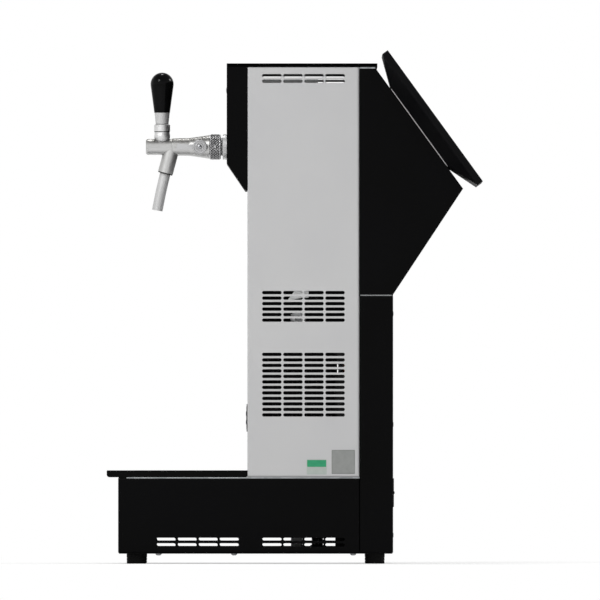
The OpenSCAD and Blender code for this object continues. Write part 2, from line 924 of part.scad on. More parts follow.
module tower_side() {
    difference() {
        folded_side(u_tow0, u_tow1, z_deck, z_top, bend, edge_bend, edge_bend, bend);
        across_x(hw - 2 * sheet, 3 * sheet) {
            slots(u_mid_tow, top_vent, slot_cols, top_rows);
            slots(u_mid_tow, mid_vent, slot_cols, mid_rows);
            slots(u_mid_tow, low_vent, slot_cols, low_rows);
        }
    }
}

module tower_side_right() {
    color("#bcbcbc") placed() tower_side();
}

module tower_side_left() {
    color("#bcbcbc") placed() mirror([1, 0, 0]) tower_side();
}

module tower_front() {
    color("#bcbcbc") placed() difference() {
        union() {
            flush_panel(u_tow0, 1, z_deck, z_top);
            flat(z_deck, sheet) rect(-in_w, u_tow0, in_w, u_tow0 + fold);
        }
        across_y(u_tow0 - cut, 4 * sheet) {
            rect(-ctrl_w / 2 - seam, z_deck + plate_up - ctrl_h / 2 - seam,
                ctrl_w / 2 + seam, z_deck + plate_up + ctrl_h / 2 + seam);
            translate([0, z_tap]) circle(shank_r + cut);
        }
    }
}

module tower_back() {
    color("#b9bcbe") placed() {
        flush_panel(u_tow1, -1, z_tray, z_top);
        flat(z_col + seam, mid_gap - 2 * seam) rect(-hw + cut, u_tow1, hw - cut, u_col - cut);
        flat(z_house1 + seam, top_gap - 2 * seam) rect(-hw + cut, u_tow1, hw - cut, slope_u - cut);
    }
}

module head_cover() {
    drop = head_h - head_front_h;
    run = head_d - head_flat;
    lean = atan2(run, drop);
    color("#111112") placed() difference() {
        across_x(-hw, 2 * hw) polygon([
            [u_head, z_top],
            [u_head, z_top - head_front_h],
            [u_head + run, z_top - head_h],
            [u_tow0, z_top - head_h],
            [u_tow0, z_top]
        ]);
        across_x(-hw + head_t, 2 * hw - 2 * head_t) polygon([
            [u_head + head_t, z_top + cut],
            [u_head + head_t, z_top - head_front_h + head_t * tan(lean / 2)],
            [u_head + run + head_t * tan(45 - lean / 2), z_top - head_h + head_t],
            [u_tow0 + cut, z_top - head_h + head_t],
            [u_tow0 + cut, z_top + cut]
        ]);
        rod_y(0, u_head - cut, u_head + 2 * head_t, z_tap, shank_r + seam);
        rod_y(0, u_head - cut, u_head + 2 * head_t, z_top - lamp_low, lamp_r / 2 + seam);
    }
}

module status_lamp() {
    dome = (lamp_r * lamp_r + lamp_h * lamp_h) / (2 * lamp_h);
    color("#202022") placed() {
        intersection() {
            translate([0, u_head - lamp_h + dome, z_top - lamp_low]) sphere(dome);
            rod_y(0, u_head - lamp_h - cut, u_head, z_top - lamp_low, lamp_r + cut);
        }
        rod_y(0, u_head, u_head + 4 * head_t, z_top - lamp_low, lamp_r / 2);
    }
}

module top_lid() {
    color("#0e0e0f") placed() difference() {
        flat(z_top, lid_h) round_rect(-hw, u_head, hw, u_tow1 + lid_rear, bend);
        flat(z_top - cut, lid_h - head_t + cut)
            rect(-hw + head_t, u_head + head_t, hw - head_t, u_tow1 + lid_rear - head_t);
    }
}

module housing_outline() {
    polygon([
        [u_tow1 + seam, z_house1],
        [slope_u, z_house1],
        [apex_u, apex_z],
        [u_col, z_house0],
        [u_tow1 + seam, z_house0]
    ]);
}

module slope_strip(t) {
    translate([slope_u, z_house1]) rotate(-slope_deg)
        translate([-fold, -t]) square([slope_l + 2 * fold, t + cut]);
}

module housing_cheek_right() {
    color("#131314") placed() across_x(hw - sheet, sheet) housing_outline();
}

module housing_cheek_left() {
    color("#131314") placed() across_x(-hw, sheet) housing_outline();
}

// local frame on the slope: across, down the slope, outwards
module on_slope() {
    translate([0, slope_u, z_house1]) rotate([-slope_deg, 0, 0]) children();
}

module mount_places() {
    for (x = [-mount_pitch, mount_pitch]) {
        for (s = [screen_mid - mount_pitch, screen_mid + mount_pitch]) {
            translate([x, s, 0]) children();
        }
    }
}

module housing_slope() {
    color("#131314") placed() difference() {
        across_x(-hw + sheet + seam / 2, 2 * hw - 2 * sheet - seam) intersection() {
            housing_outline();
            union() {
                slope_strip(sheet);
                rect(u_tow1, z_house1 - sheet, slope_u + cut, z_house1 + cut);
            }
        }
        on_slope() {
            mount_places() translate([0, 0, -3 * sheet]) cylinder(h = 6 * sheet, r = screw_r + seam);
            translate([0, screen_mid, -3 * sheet]) cylinder(h = 6 * sheet, r = fold);
        }
    }
}

module housing_underside() {
    color("#131314") placed() difference() {
        across_x(-hw + sheet + seam / 2, 2 * hw - 2 * sheet - seam) intersection() {
            housing_outline();
            difference() {
                union() {
                    translate([apex_u, apex_z]) rotate(under_deg) translate([-fold, -sheet])
                        square([under_l + 2 * fold, sheet]);
                    rect(u_tow1, z_house0 - cut, u_col, z_house0 + sheet);
                }
                slope_strip(sheet + seam);
            }
        }
        translate([0, apex_u, apex_z]) rotate([under_deg, 0, 0]) translate([0, under_l / 2, -3 * sheet])
            linear_extrude(6 * sheet) slots(0, 0, slot_cols, mid_rows);
    }
}

module column_side() {
    folded_side(u_tow1 + seam, u_col, z_pan, z_col, bend, bend, bend, bend);
}

module column_side_right() {
    color("#161617") placed() column_side();
}

module column_side_left() {
    color("#161617") placed() mirror([1, 0, 0]) column_side();
}

module column_back() {
    color("#161617") placed() difference() {
        flush_panel(u_col, -1, z_pan, z_col);
        across_y(u_col - 4 * sheet, 5 * sheet) {
            rect(inlet_x - inlet_w / 2 + inlet_lip - seam, inlet_up + inlet_lip - seam,
                inlet_x + inlet_w / 2 - inlet_lip + seam, inlet_up + inlet_h - inlet_lip + seam);
            slots(0, low_vent, slot_cols, mid_rows);
        }
    }
}

module power_inlet() {
    color("#18181a") placed() difference() {
        union() {
            across_y(u_col, inlet_t) round_rect(inlet_x - inlet_w / 2, inlet_up, inlet_x + inlet_w / 2,
                inlet_up + inlet_h, bend);
            across_y(u_col - inlet_d, inlet_d) rect(inlet_x - inlet_w / 2 + inlet_lip, inlet_up + inlet_lip,
                inlet_x + inlet_w / 2 - inlet_lip, inlet_up + inlet_h - inlet_lip);
        }
        difference() {
            across_y(u_col - inlet_d / 2, inlet_d) round_rect(x_sock - socket_w / 2, z_inlet - socket_h / 2,
                x_sock + socket_w / 2, z_inlet + socket_h / 2, bend);
            for (x = [x_sock - blade_pitch, x_sock, x_sock + blade_pitch]) {
                across_y(u_col - inlet_d, inlet_d - blade_low) rect(x - blade_t / 2, z_inlet - blade_h / 2,
                    x + blade_t / 2, z_inlet + blade_h / 2);
            }
        }
        rod_x(x_rock - rocker_w / 2 - seam, x_rock + rocker_w / 2 + seam, u_rock, z_inlet, rocker_r + seam);
        across_y(u_rock, rocker_r + cut) rect(x_rock - rocker_w / 2 - seam, z_inlet - rocker_r + cut,
            x_rock + rocker_w / 2 + seam, z_inlet + rocker_r - cut);
    }
}

module power_switch() {
    tilt = rocker_deg / 2;
    color("#0f0f10") placed() translate([x_rock, u_rock, z_inlet]) rotate([-tilt, 0, 0]) difference() {
        rod_x(-rocker_w / 2, rocker_w / 2, 0, 0, rocker_r);
        for (s = [-1, 1]) {
            rotate([s * tilt, 0, 0])
                translate([-rocker_w, rocker_r - rocker_face, s > 0 ? 0 : -3 * rocker_r])
                    cube([2 * rocker_w, rocker_r, 3 * rocker_r]);
        }
        translate([-rocker_w, -2 * rocker_r, -2 * rocker_r])
            cube([2 * rocker_w, 2 * rocker_r - rocker_back, 4 * rocker_r]);
    }
}

module control_plate() {
    z_mid = z_deck + plate_up;
    color("#1a1a1c") placed() {
        across_y(u_tow0 - plate_t, plate_t) round_rect(-plate_w / 2, z_mid - plate_h / 2, plate_w / 2,
            z_mid + plate_h / 2, edge_bend);
        across_y(u_tow0 - plate_t / 2, plate_t / 2 + ctrl_d) rect(-ctrl_w / 2, z_mid - ctrl_h / 2, ctrl_w / 2,
            z_mid + ctrl_h / 2);
    }
}

module screen_mount() {
    half = screen_h / 2 - screen_taper - seam;
    color("#b4b6b8") placed() on_slope() difference() {
        translate([0, screen_mid, 0]) linear_extrude(mount_t) difference() {
            round_rect(seam - hw, -half, hw - seam, half, edge_bend);
            circle(fold);
        }
        mount_places() translate([0, 0, -cut]) cylinder(h = mount_t + 2 * cut, r = screw_r + seam);
    }
}

module mount_screws() {
    color("#8d8f92") placed() on_slope() mount_places() {
        translate([0, 0, -sheet - mount_head]) cylinder(h = mount_head, r = 2 * screw_r);
        translate([0, 0, -sheet]) cylinder(h = sheet + mount_t + screen_t + mount_reach, r = screw_r);
    }
}

// tapered block of the screen's back, grown inwards by t
module back_block(t) {
    n0 = mount_t + t;
    n1 = mount_t + screen_back_d + (t > 0 ? cut : 0);
    flare = screen_taper * (n1 - n0) / (screen_back_d - t);
    intersection() {
        across_x(-screen_w / 2, screen_w) polygon([
            [screen_mid - screen_h / 2 + screen_taper, n0],
            [screen_mid + screen_h / 2 - screen_taper, n0],
            [screen_mid + screen_h / 2 - screen_taper + flare - 2 * t, n1],
            [screen_mid - screen_h / 2 + screen_taper - flare + 2 * t, n1]
        ]);
        across_y(screen_mid - screen_h / 2, screen_h) polygon([
            [-screen_w / 2 + screen_taper, n0],
            [screen_w / 2 - screen_taper, n0],
            [screen_w / 2 - screen_taper + flare - 2 * t, n1],
            [-screen_w / 2 + screen_taper - flare + 2 * t, n1]
        ]);
    }
}

module screen_back() {
    color("#1b1b1d") placed() on_slope() difference() {
        union() {
            difference() {
                back_block(0);
                back_block(screen_t);
            }
            mount_places() translate([0, 0, mount_t])
                cylinder(h = screen_t + mount_reach + cut, r = 2.5 * screw_r);
        }
        mount_places() translate([0, 0, mount_t - cut])
            cylinder(h = screen_t + mount_reach + 1.5 * cut, r = screw_r + seam / 3);
        translate([0, screen_mid, mount_t - cut]) cylinder(h = screen_t + 2 * cut, r = fold);
        for (i = [-4 : 4]) {
            translate([i * slot_l, screen_mid - screen_h / 2 + screen_taper / 2, 0]) linear_extrude(screen_n)
                round_rect(-slot_h / 2, -fold, slot_h / 2, fold / 2, slot_h / 3);
        }
    }
}

module screen_bezel() {
    n0 = mount_t + screen_back_d;
    rim = screen_t - seam;
    x1 = screen_w / 2;
    y1 = screen_h / 2;
    color("#19191b") placed() on_slope() translate([0, screen_mid, n0]) difference() {
        linear_extrude(screen_edge) round_rect(-x1, -y1, x1, y1, bend);
        translate([0, 0, -cut]) linear_extrude(screen_edge + 2 * cut)
            rect(-x1 + 2 * screen_t, -y1 + 2 * screen_t, x1 - 2 * screen_t, y1 - 2 * screen_t);
        translate([0, 0, screen_edge - glass_t - seam]) linear_extrude(screen_edge)
            rect(-x1 + rim, -y1 + rim, x1 - rim, y1 - rim);
    }
}

module screen_glass() {
    n1 = mount_t + screen_back_d + screen_edge;
    x1 = screen_w / 2 - screen_t;
    y1 = screen_h / 2 - screen_t;
    color("#0a0b0d") placed() on_slope() translate([0, screen_mid, n1 - glass_t - seam]) {
        linear_extrude(glass_t) rect(-x1, -y1, x1, y1);
        translate([0, 0, -screen_edge / 2]) linear_extrude(screen_edge / 2)
            rect(-x1 + fold, -y1 + fold, x1 - fold, y1 - fold);
    }
}

module tap_shank() {
    color("#c4c6c8") placed() difference() {
        union() {
            rod_y(0, u_step, u_foam0 + foam_wall + shank_in, z_tap, shank_r);
            rod_y(0, u_head - flange_t, u_head, z_tap, flange_r);
        }
        rod_y(0, u_nut0, u_foam1, z_tap, shank_bore);
    }
}

module shank_locknut() {
    color("#a8aaad") placed() translate([0, u_head + head_t, z_tap]) rotate([-90, 0, 0]) difference() {
        cylinder(h = 2 * flange_t, r = 1.5 * shank_r, $fn = 6);
        translate([0, 0, -cut]) cylinder(h = 2 * flange_t + 2 * cut, r = shank_r + pipe_fit);
    }
}

module tap_nut() {
    color("#c4c6c8") placed() difference() {
        union() {
            rod_y(0, u_nut0 + seam, u_nut1, z_tap, flange_r - cut / 2);
            rod_y(0, u_nut0 + nut_band, u_nut1 - nut_band, z_tap, flange_r);
        }
        rod_y(0, u_nut0 - cut, u_nut1 + cut, z_tap, shank_r + pipe_fit);
        rod_y(0, u_nut0 + nut_lip, u_step, z_tap, shank_r + nut_recess);
        rod_x(flange_r - 2 * spanner_r, flange_r + cut, (u_nut0 + u_nut1) / 2, z_tap, spanner_r);
    }
}

module tap_body() {
    u_cone = u_nut0 - cone_l;
    u_end = u_step - seam;
    color("#c9cbcd") placed() difference() {
        union() {
            cone_y(u_body, u_body + body_edge, z_tap, body_r - body_edge, body_r);
            rod_y(0, u_body + body_edge, u_cone, z_tap, body_r);
            cone_y(u_spout, u_cone, z_tap, waist_r, cone_r0);
            cone_y(u_cone, u_nut0, z_tap, cone_r0, cone_r1);
            rod_y(0, u_nut0, u_end, z_tap, shank_r - seam);
            rod_y(0, u_nut0 + nut_lip + seam, u_end, z_tap, shank_r + nut_recess - seam);
            translate([0, u_spout, z_tap]) rotate([180 - spout_tilt, 0, 0]) cylinder(h = boss_l, r = boss_r);
            rod_x(0, comp_face, u_comp, z_tap, comp_hub - cut);
        }
        translate([0, u_handle, z_pivot]) sphere(ball_r + run_gap);
        rod_y(0, u_body + bore_start, u_seat + cut, z_tap, bore_r);
        rod_y(0, u_seat, u_valve, z_tap, bore_r - seat_in);
        rod_y(0, u_valve, u_end + cut, z_tap, chamber_r);
        translate([0, u_spout, z_tap]) rotate([180 - spout_tilt, 0, 0]) {
            cylinder(h = boss_l + cut, r = spout_r - spout_wall);
            translate([0, 0, boss_l - spout_in]) cylinder(h = spout_in + cut, r = spout_r + pipe_fit);
        }
        rod_x(0, comp_face + cut, u_comp, z_tap, comp_shaft + pipe_fit);
    }
}

module tap_spout() {
    len = spout_l + spout_in;
    bow = len * 180 / (PI * spout_bend);
    color("#c9cbcd") placed() translate([0, u_spout, z_tap]) rotate([180 - spout_tilt, 0, 0])
        translate([0, -bow, boss_l - spout_in]) rotate([0, 90, 0]) rotate([0, 0, 90])
            rotate_extrude(angle = spout_bend) translate([bow, 0]) difference() {
                circle(spout_r);
                circle(spout_r - spout_wall);
            }
}

module tap_lever() {
    color("#c9cbcd") placed() {
        difference() {
            union() {
                translate([0, u_handle, z_pivot]) sphere(ball_r);
                rod_z(0, u_handle, z_pivot, z_neck, neck_r);
            }
            rod_z(0, u_handle, z_pivot - ball_r - cut, z_ball, ball_r);
            rod_z(0, u_handle, z_neck, z_pivot + ball_r + cut, ball_r);
        }
        rod_z(0, u_handle, z_tap, z_ball + cut, pin_r);
        translate([0, u_handle, z_tap]) sphere(pin_ball);
        rod_z(0, u_handle, z_neck - cut, z_tap + ferrule_top + stud_in, handle_stud);
    }
}

module stud_bore(z0, z1) {
    rod_z(0, u_handle, z0 - cut, z1, handle_stud + pipe_fit);
}

module handle_collar() {
    z0 = z_tap + neck_top;
    z1 = z_tap + collar_top;
    color("#c9cbcd") placed() difference() {
        union() {
            rod_z(0, u_handle, z_neck, z0, neck_r - 2 * seam);
            rod_z(0, u_handle, z0, z1 - collar_edge, collar_r);
            translate([0, u_handle, z1 - collar_edge])
                cylinder(h = collar_edge, r1 = collar_r, r2 = ferrule_r0 + seam);
        }
        stud_bore(z_neck, z1 + cut);
    }
}

module handle_ferrule() {
    z0 = z_tap + collar_top;
    z1 = z_tap + ferrule_top;
    color("#c9cbcd") placed() difference() {
        translate([0, u_handle, z0]) cylinder(h = z1 - z0, r1 = ferrule_r0, r2 = ferrule_r1);
        stud_bore(z0, z1 + cut);
    }
}

module handle_knob() {
    z0 = z_tap + ferrule_top;
    z1 = z_tap + knob_top - knob_r1;
    lean = asin((knob_r1 - knob_r0) / norm([z1 - z0, knob_r0 - knob_r1]));
    z2 = z1 - knob_r1 * sin(lean);
    color("#0d0d0e") placed() difference() {
        union() {
            translate([0, u_handle, z0]) cylinder(h = z2 - z0, r1 = knob_r0, r2 = knob_r1 * cos(lean));
            intersection() {
                translate([0, u_handle, z1]) sphere(knob_r1);
                rod_z(0, u_handle, z2 - seam, z1 + 2 * knob_r1, 2 * knob_r1);
            }
        }
        stud_bore(z0, z0 + stud_in + cut);
    }
}

// piston driven by the lever's ball end, flat on top to clear the ball of the lever
module tap_piston() {
    r = bore_r - run_gap;
    slot = pin_ball + pin_gap;
    u1 = u_handle + slot + piston_web;
    z_flat = z_pivot - ball_r - run_gap;
    color("#b08d57") placed() {
        difference() {
            rod_y(0, u_body + piston_d, u1, z_tap, r);
            translate([-slot, u_handle - slot, z_tap - 2 * r]) cube([2 * slot, 2 * slot, 4 * r]);
            translate([-slot, u_handle - 3 * slot, z_tap + relief_h]) cube([2 * slot, 3 * slot, 2 * r]);
            translate([-2 * r, u_body, z_flat]) cube([4 * r, body_l, 2 * r]);
        }
        rod_y(0, u1 - cut, u_valve + valve_l - cut, z_tap, rod_r);
        cone_y(u_valve + run_gap, u_valve + valve_l, z_tap, bore_r, bore_r - valve_in);
    }
}

module compensator_lever() {
    x0 = comp_face + run_gap;
    color("#c9cbcd") placed() {
        rod_x(-seam, x0 + comp_hub_t, u_comp, z_tap, comp_shaft);
        rod_x(x0, x0 + comp_hub_t, u_comp, z_tap, comp_hub);
        rod_x(-comp_pin_l, 0, u_comp, z_tap + comp_throw, comp_pin);
        across_x(x0 + (comp_hub_t - comp_t) / 2, comp_t) polygon([
            [u_comp, z_tap - comp_root / 2],
            [u_comp - comp_l, z_tap - comp_tip / 2],
            [u_comp - comp_l + comp_slant, z_tap + comp_tip / 2],
            [u_comp, z_tap + comp_root / 2]
        ]);
    }
}

// flow cone with a slot for the eccentric pin and a wider one for the shaft
module compensator_cone() {
    slot = comp_pin + cone_play;
    tall = comp_throw + comp_pin + 2 * seam;
    wide = comp_shaft + comp_throw + 2 * seam;
    high = comp_shaft + 2 * seam;
    color("#d8d9da") placed() difference() {
        cone_y(u_comp - cone_front, u_comp + cone_back, z_tap,
            chamber_r - cone_taper, chamber_r - 2 * run_gap);
        translate([-2 * chamber_r, u_comp - slot, z_tap - tall]) cube([2 * chamber_r, 2 * slot, 2 * tall]);
        translate([-2 * seam, u_comp - wide, z_tap - high]) cube([2 * chamber_r, 2 * wide, 2 * high]);
    }
}

module compressor() {
    z_mid = z_pan + shell_mid;
    z_cap0 = z_mid + cap_h;
    z_end = z_pan + shell_top;
    cap_r = comp_shell - cap_in;
    rise = z_end - z_cap0;
    dome = (rise * rise + cap_r * cap_r) / (2 * rise);
    color("#1d1d1f") placed() difference() {
        union() {
            rod_z(0, u_shell, z_shell0, z_mid, comp_shell);
            rod_z(0, u_shell, z_mid, z_mid + weld_t, comp_shell + weld_out);
            rod_z(0, u_shell, z_mid + weld_t, z_cap0, cap_r);
            intersection() {
                translate([0, u_shell, z_end - dome]) sphere(dome);
                rod_z(0, u_shell, z_cap0 - weld_t, z_end + cut, cap_r);
            }
            flat(z_sole, sole_t) round_rect(-foot_pitch - fold, u_shell - foot_pitch - fold,
                foot_pitch + fold, u_shell + foot_pitch + fold, fold);
            rod_z(0, u_shell, z_sole + cut, z_shell0 + cut, comp_shell / 2);
            flat(z_pan + relay_low, relay_h) rect(comp_shell - relay_low, u_shell + relay_d,
                comp_shell + relay_out, u_shell + relay_d + relay_w);
            rod_z(x_suct, u_suct, z_cap0 - cap_h / 2, z_stub, suction_r + stub_wall);
            rod_z(x_hot, u_hot, z_cap0 - cap_h / 2, z_stub, hot_r + stub_wall);
        }
        rod_z(x_suct, u_suct, z_joint - cut, z_stub + cut, suction_r + pipe_fit);
        rod_z(x_hot, u_hot, z_joint - cut, z_stub + cut, hot_r + pipe_fit);
        both_sides() {
            for (u = [u_shell - foot_pitch, u_shell + foot_pitch]) {
                rod_z(foot_pitch, u, z_sole - cut, z_sole + sole_t + cut, grommet_neck + seam);
            }
        }
    }
}

module compressor_mounts() {
    z_up = z_sole - z_pan;
    color("#5a5b5d") placed() both_sides() {
        for (u = [u_shell - foot_pitch, u_shell + foot_pitch]) {
            translate([foot_pitch, u, z_pan]) {
                cylinder(h = grommet_r, r1 = grommet_r + grommet_flare, r2 = grommet_r);
                cylinder(h = z_up - seam, r = grommet_r);
                cylinder(h = z_up + sole_t + seam, r = grommet_neck);
                translate([0, 0, z_up + sole_t + seam]) cylinder(h = grommet_cap, r = grommet_r + cut);
                translate([0, 0, -pan_t])
                    cylinder(h = pan_t + z_up + sole_t + seam + grommet_cap + stud_out, r = stud_r);
            }
        }
    }
}

module shelf_plate(z, u1) {
    flat(z, pan_t) rect(-hw + sheet + seam, u_tow0 + 3 * sheet, hw - sheet - seam, u1);
    both_sides() across_x(hw - 2 * sheet - seam, sheet) rect(u_tow0 + fold, z - fold, u1, z + pan_t);
}

module condenser_tray() {
    color("#b9bcbe") placed() difference() {
        shelf_plate(z_tray, u_cond1 + tube_end);
        flat(z_tray - cut, pan_t + 2 * cut) {
            rect(x_beer - 3 * beer_r, u_rise - 5 * beer_r, x_beer + 3 * beer_r, u_tow1);
            rect(-ctrl_w / 2 - cut, u_tow0, ctrl_w / 2 + cut, u_tow0 + ctrl_d + cut);
        }
    }
}

// finned condenser; the lowest tube sits further out, so that its outlet clears the hot gas pipe
module condenser() {
    pitch = (cond_l - fin_t) / (fins - 1);
    color("#101011") placed() difference() {
        union() {
            for (i = [0 : fins - 1]) {
                translate([x_cond, u_cond0 + i * pitch, z_cond]) cube([cond_w, fin_t, cond_h]);
            }
            for (j = [0 : tubes - 1]) {
                ends = j == 0 || j == tubes - 1 ? tube_stub : tube_end;
                z = z_tube0 + j * tube_step;
                rod_y(j == 0 ? x_liq : x_tube, u_cond0 - tube_end, u_cond1 + ends, z, tube_r);
            }
        }
        rod_y(x_liq, u_cond1, u_cond1 + tube_stub + cut, z_tube0, hot_r + pipe_fit);
        rod_y(x_tube, u_cond1, u_cond1 + tube_stub + cut, z_tube1, hot_r + pipe_fit);
    }
}

module fan_shroud() {
    x0 = x_cond - sheet;
    color("#141415") placed() difference() {
        union() {
            across_x(x0, sheet) rect(u_cond0, z_cond, u_cond1, z_cond + cond_h);
            rod_x(x0 - fold, x0 + sheet / 2, u_fan, z_fan, fan_r + ring_t);
        }
        rod_x(x0 - 2 * fold, x0 + fold, u_fan, z_fan, fan_r);
    }
}

module fan_motor() {
    reach = fan_r + strut_out;
    color("#2b2c2e") placed() {
        rod_x(fan_x - fold - motor_l, fan_x - fold, u_fan, z_fan, motor_r);
        rod_x(fan_x - fold - cut, fan_x + cut, u_fan, z_fan, shaft_r);
        translate([fan_x - fold - strut_t - cut, u_fan, z_fan]) for (a = [45 : 90 : 315]) {
            rotate([a, 0, 0]) {
                translate([0, motor_r - post_r, -strut_w / 2])
                    cube([strut_t, reach - motor_r + 2 * post_r, strut_w]);
                translate([0, reach, 0]) rotate([0, 90, 0])
                    cylinder(h = 2 * fold + strut_t + cut, r = post_r);
            }
        }
    }
}

module fan_blade() {
    root = hub_r - 2 * cut;
    color("#1f1f21") placed() translate([fan_x - hub_l / 2 + post_r, u_fan, z_fan]) difference() {
        union() {
            rod_x(-hub_l / 2, hub_l / 2, 0, 0, hub_r);
            for (i = [0 : blades - 1]) {
                rotate([i * 360 / blades, 0, 0]) translate([0, root, 0]) rotate([0, vane_deg, 0])
                    translate([-vane_t / 2, 0, -vane_w / 2]) cube([vane_t, blade_r - root - vane_t, vane_w]);
            }
        }
        rod_x(-hub_l, hub_l, 0, 0, shaft_r + shaft_fit);
    }
}

module box_outline(d) {
    round_rect(box_x + d, u_tow0 + box_front + d, box_x + box_w - d, u_tow1 - sheet - seam - d, bend);
}

module electrics_box() {
    z_lid = z_box + box_h - box_lid;
    color("#121213") placed() {
        flat(z_box, z_lid - z_box - box_groove) box_outline(0);
        flat(z_lid - box_groove - cut, box_groove + 2 * cut) box_outline(cut / 2);
        flat(z_lid, box_lid) box_outline(0);
    }
}

module block_shelf() {
    color("#b9bcbe") placed() shelf_plate(z_shelf, u_foam1 + shelf_over);
}

module block_ports(gap) {
    rod_y(x_beer, u_in, u_foam1 + cut, z_beer, beer_r + gap);
    rod_y(x_suct, u_in, u_foam1 + cut, z_suct, suction_r + gap);
    rod_y(x_cap, u_in, u_foam1 + cut, z_cap, capillary_r + gap);
}

module insulation() {
    color("#b7b7b5") placed() difference() {
        flat(z_foam, foam_h - foam_lid) rect(-x_foam, u_foam0, x_foam, u_foam1);
        flat(z_foam + foam_wall, foam_h)
            rect(-x_block - seam, u_foam0 + foam_wall, x_block + seam, u_foam1 - foam_wall);
        rod_y(0, u_foam0 - cut, u_foam0 + foam_wall + cut, z_tap, shank_r + seam);
        block_ports(seam);
    }
}

module insulation_lid() {
    color("#b7b7b5") placed() {
        flat(z_lid0, foam_lid) rect(-x_foam, u_foam0, x_foam, u_foam1);
        flat(z_lid0 - plug_h, plug_h)
            rect(-x_block, u_foam0 + foam_wall + seam, x_block, u_foam1 - foam_wall - seam);
    }
}

module cold_block() {
    color("#c0c2c4") placed() difference() {
        flat(z_foam + foam_wall, z_lid0 - plug_h - seam - z_foam - foam_wall)
            rect(-x_block, u_foam0 + foam_wall + seam, x_block, u_foam1 - foam_wall - seam);
        rod_y(0, u_foam0, u_foam0 + foam_wall + shank_in + cut, z_tap, shank_r + pipe_fit);
        block_ports(pipe_fit);
    }
}

module beer_inlet() {
    z1 = z_pan + inlet_rise;
    color("#9b9d9f") placed() difference() {
        union() {
            rod_z(x_beer, u_beer, foot_h, z1, inlet_neck);
            translate([x_beer, u_beer, z_pan])
                cylinder(h = inlet_nut, r1 = 1.5 * inlet_neck, r2 = 1.2 * inlet_neck);
        }
        rod_z(x_beer, u_beer, foot_h - cut, foot_h + 2 * inlet_neck, beer_r + pipe_fit);
        rod_z(x_beer, u_beer, foot_h, z1 - line_in, beer_r - inlet_stop);
        rod_z(x_beer, u_beer, z1 - line_in - cut, z1 + cut, beer_r + pipe_fit);
    }
}

// quarter bend from upwards to along dir degrees
module bend_over(r, dir) {
    rotate([0, 0, dir]) translate([pipe_bend, 0, 0]) rotate([90, 0, 0]) rotate([0, 0, 90])
        rotate_extrude(angle = 90) translate([pipe_bend, 0]) circle(r);
}

// quarter bend from along dir degrees to upwards
module bend_up(r, dir) {
    rotate([0, 0, dir]) translate([0, 0, pipe_bend]) rotate([90, 0, 0]) rotate([0, 0, -90])
        rotate_extrude(angle = 90) translate([pipe_bend, 0]) circle(r);
}

module beer_line() {
    z0 = z_pan + inlet_rise - line_in;
    z1 = z0 + line_up;
    u1 = u_beer + pipe_bend;
    u2 = u_rise - pipe_bend;
    color("#d9d6cc") placed() {
        rod_z(x_beer, u_beer, z0, z1, beer_r);
        translate([x_beer, u_beer, z1]) bend_over(beer_r, 90);
        rod_y(x_beer, u1, u2, z1 + pipe_bend, beer_r);
        translate([x_beer, u2, z1 + pipe_bend]) bend_up(beer_r, 90);
        rod_z(x_beer, u_rise, z1 + 2 * pipe_bend, z_beer - pipe_bend, beer_r);
        translate([x_beer, u_rise, z_beer - pipe_bend]) bend_over(beer_r, -90);
        rod_y(x_beer, u_in + cut, u_rise - pipe_bend, z_beer, beer_r);
    }
}

// quarter bend lying flat, from along the width to towards the front; dir is the sign of the way across
module bend_flat(r, dir) {
    translate([0, -pipe_bend, 0]) rotate([0, 0, dir > 0 ? 0 : 90])
        rotate_extrude(angle = 90) translate([pipe_bend, 0]) circle(r);
}

module suction_pipe() {
    color("#b87333") placed() {
        rod_z(x_suct, u_suct, z_joint, z_suct - pipe_bend, suction_r);
        translate([x_suct, u_suct, z_suct - pipe_bend]) bend_over(suction_r, -90);
        rod_y(x_suct, u_in + cut, u_suct - pipe_bend, z_suct, suction_r);
    }
}

module discharge_pipe() {
    color("#b87333") placed() {
        rod_z(x_hot, u_hot, z_joint, z_tube1 - pipe_bend, hot_r);
        translate([x_hot, u_hot, z_tube1 - pipe_bend]) bend_over(hot_r, 0);
        rod_x(x_hot + pipe_bend, x_tube - pipe_bend, u_hot, z_tube1, hot_r);
        translate([x_tube - pipe_bend, u_hot, z_tube1]) bend_flat(hot_r, 1);
        rod_y(x_tube, u_cond1 + cut, u_hot - pipe_bend, z_tube1, hot_r);
    }
}

// liquid line from the condenser through the filter drier to the capillary
module liquid_line() {
    z0 = z_tube0 + pipe_bend + drier_end;
    z1 = z0 + drier_l;
    u0 = u_liq - pipe_bend;
    color("#b87333") placed() {
        rod_y(x_liq, u_cond1 + cut, u0, z_tube0, hot_r);
        translate([x_liq, u0, z_tube0]) bend_up(hot_r, 90);
        translate([x_liq, u_liq, 0]) rotate_extrude() polygon([
            [0, z_tube0 + pipe_bend],
            [hot_r, z_tube0 + pipe_bend],
            [hot_r, z0],
            [drier_r, z0 + drier_end],
            [drier_r, z1 - drier_end],
            [capillary_r, z1],
            [capillary_r, z_cap - pipe_bend],
            [0, z_cap - pipe_bend]
        ]);
        translate([x_liq, u_liq, z_cap - pipe_bend]) bend_over(capillary_r, 180);
        rod_x(x_cap + pipe_bend, x_liq - pipe_bend, u_liq, z_cap, capillary_r);
        translate([x_cap + pipe_bend, u_liq, z_cap]) bend_flat(capillary_r, -1);
        rod_y(x_cap, u_in + cut, u_liq - pipe_bend, z_cap, capillary_r);
    }
}

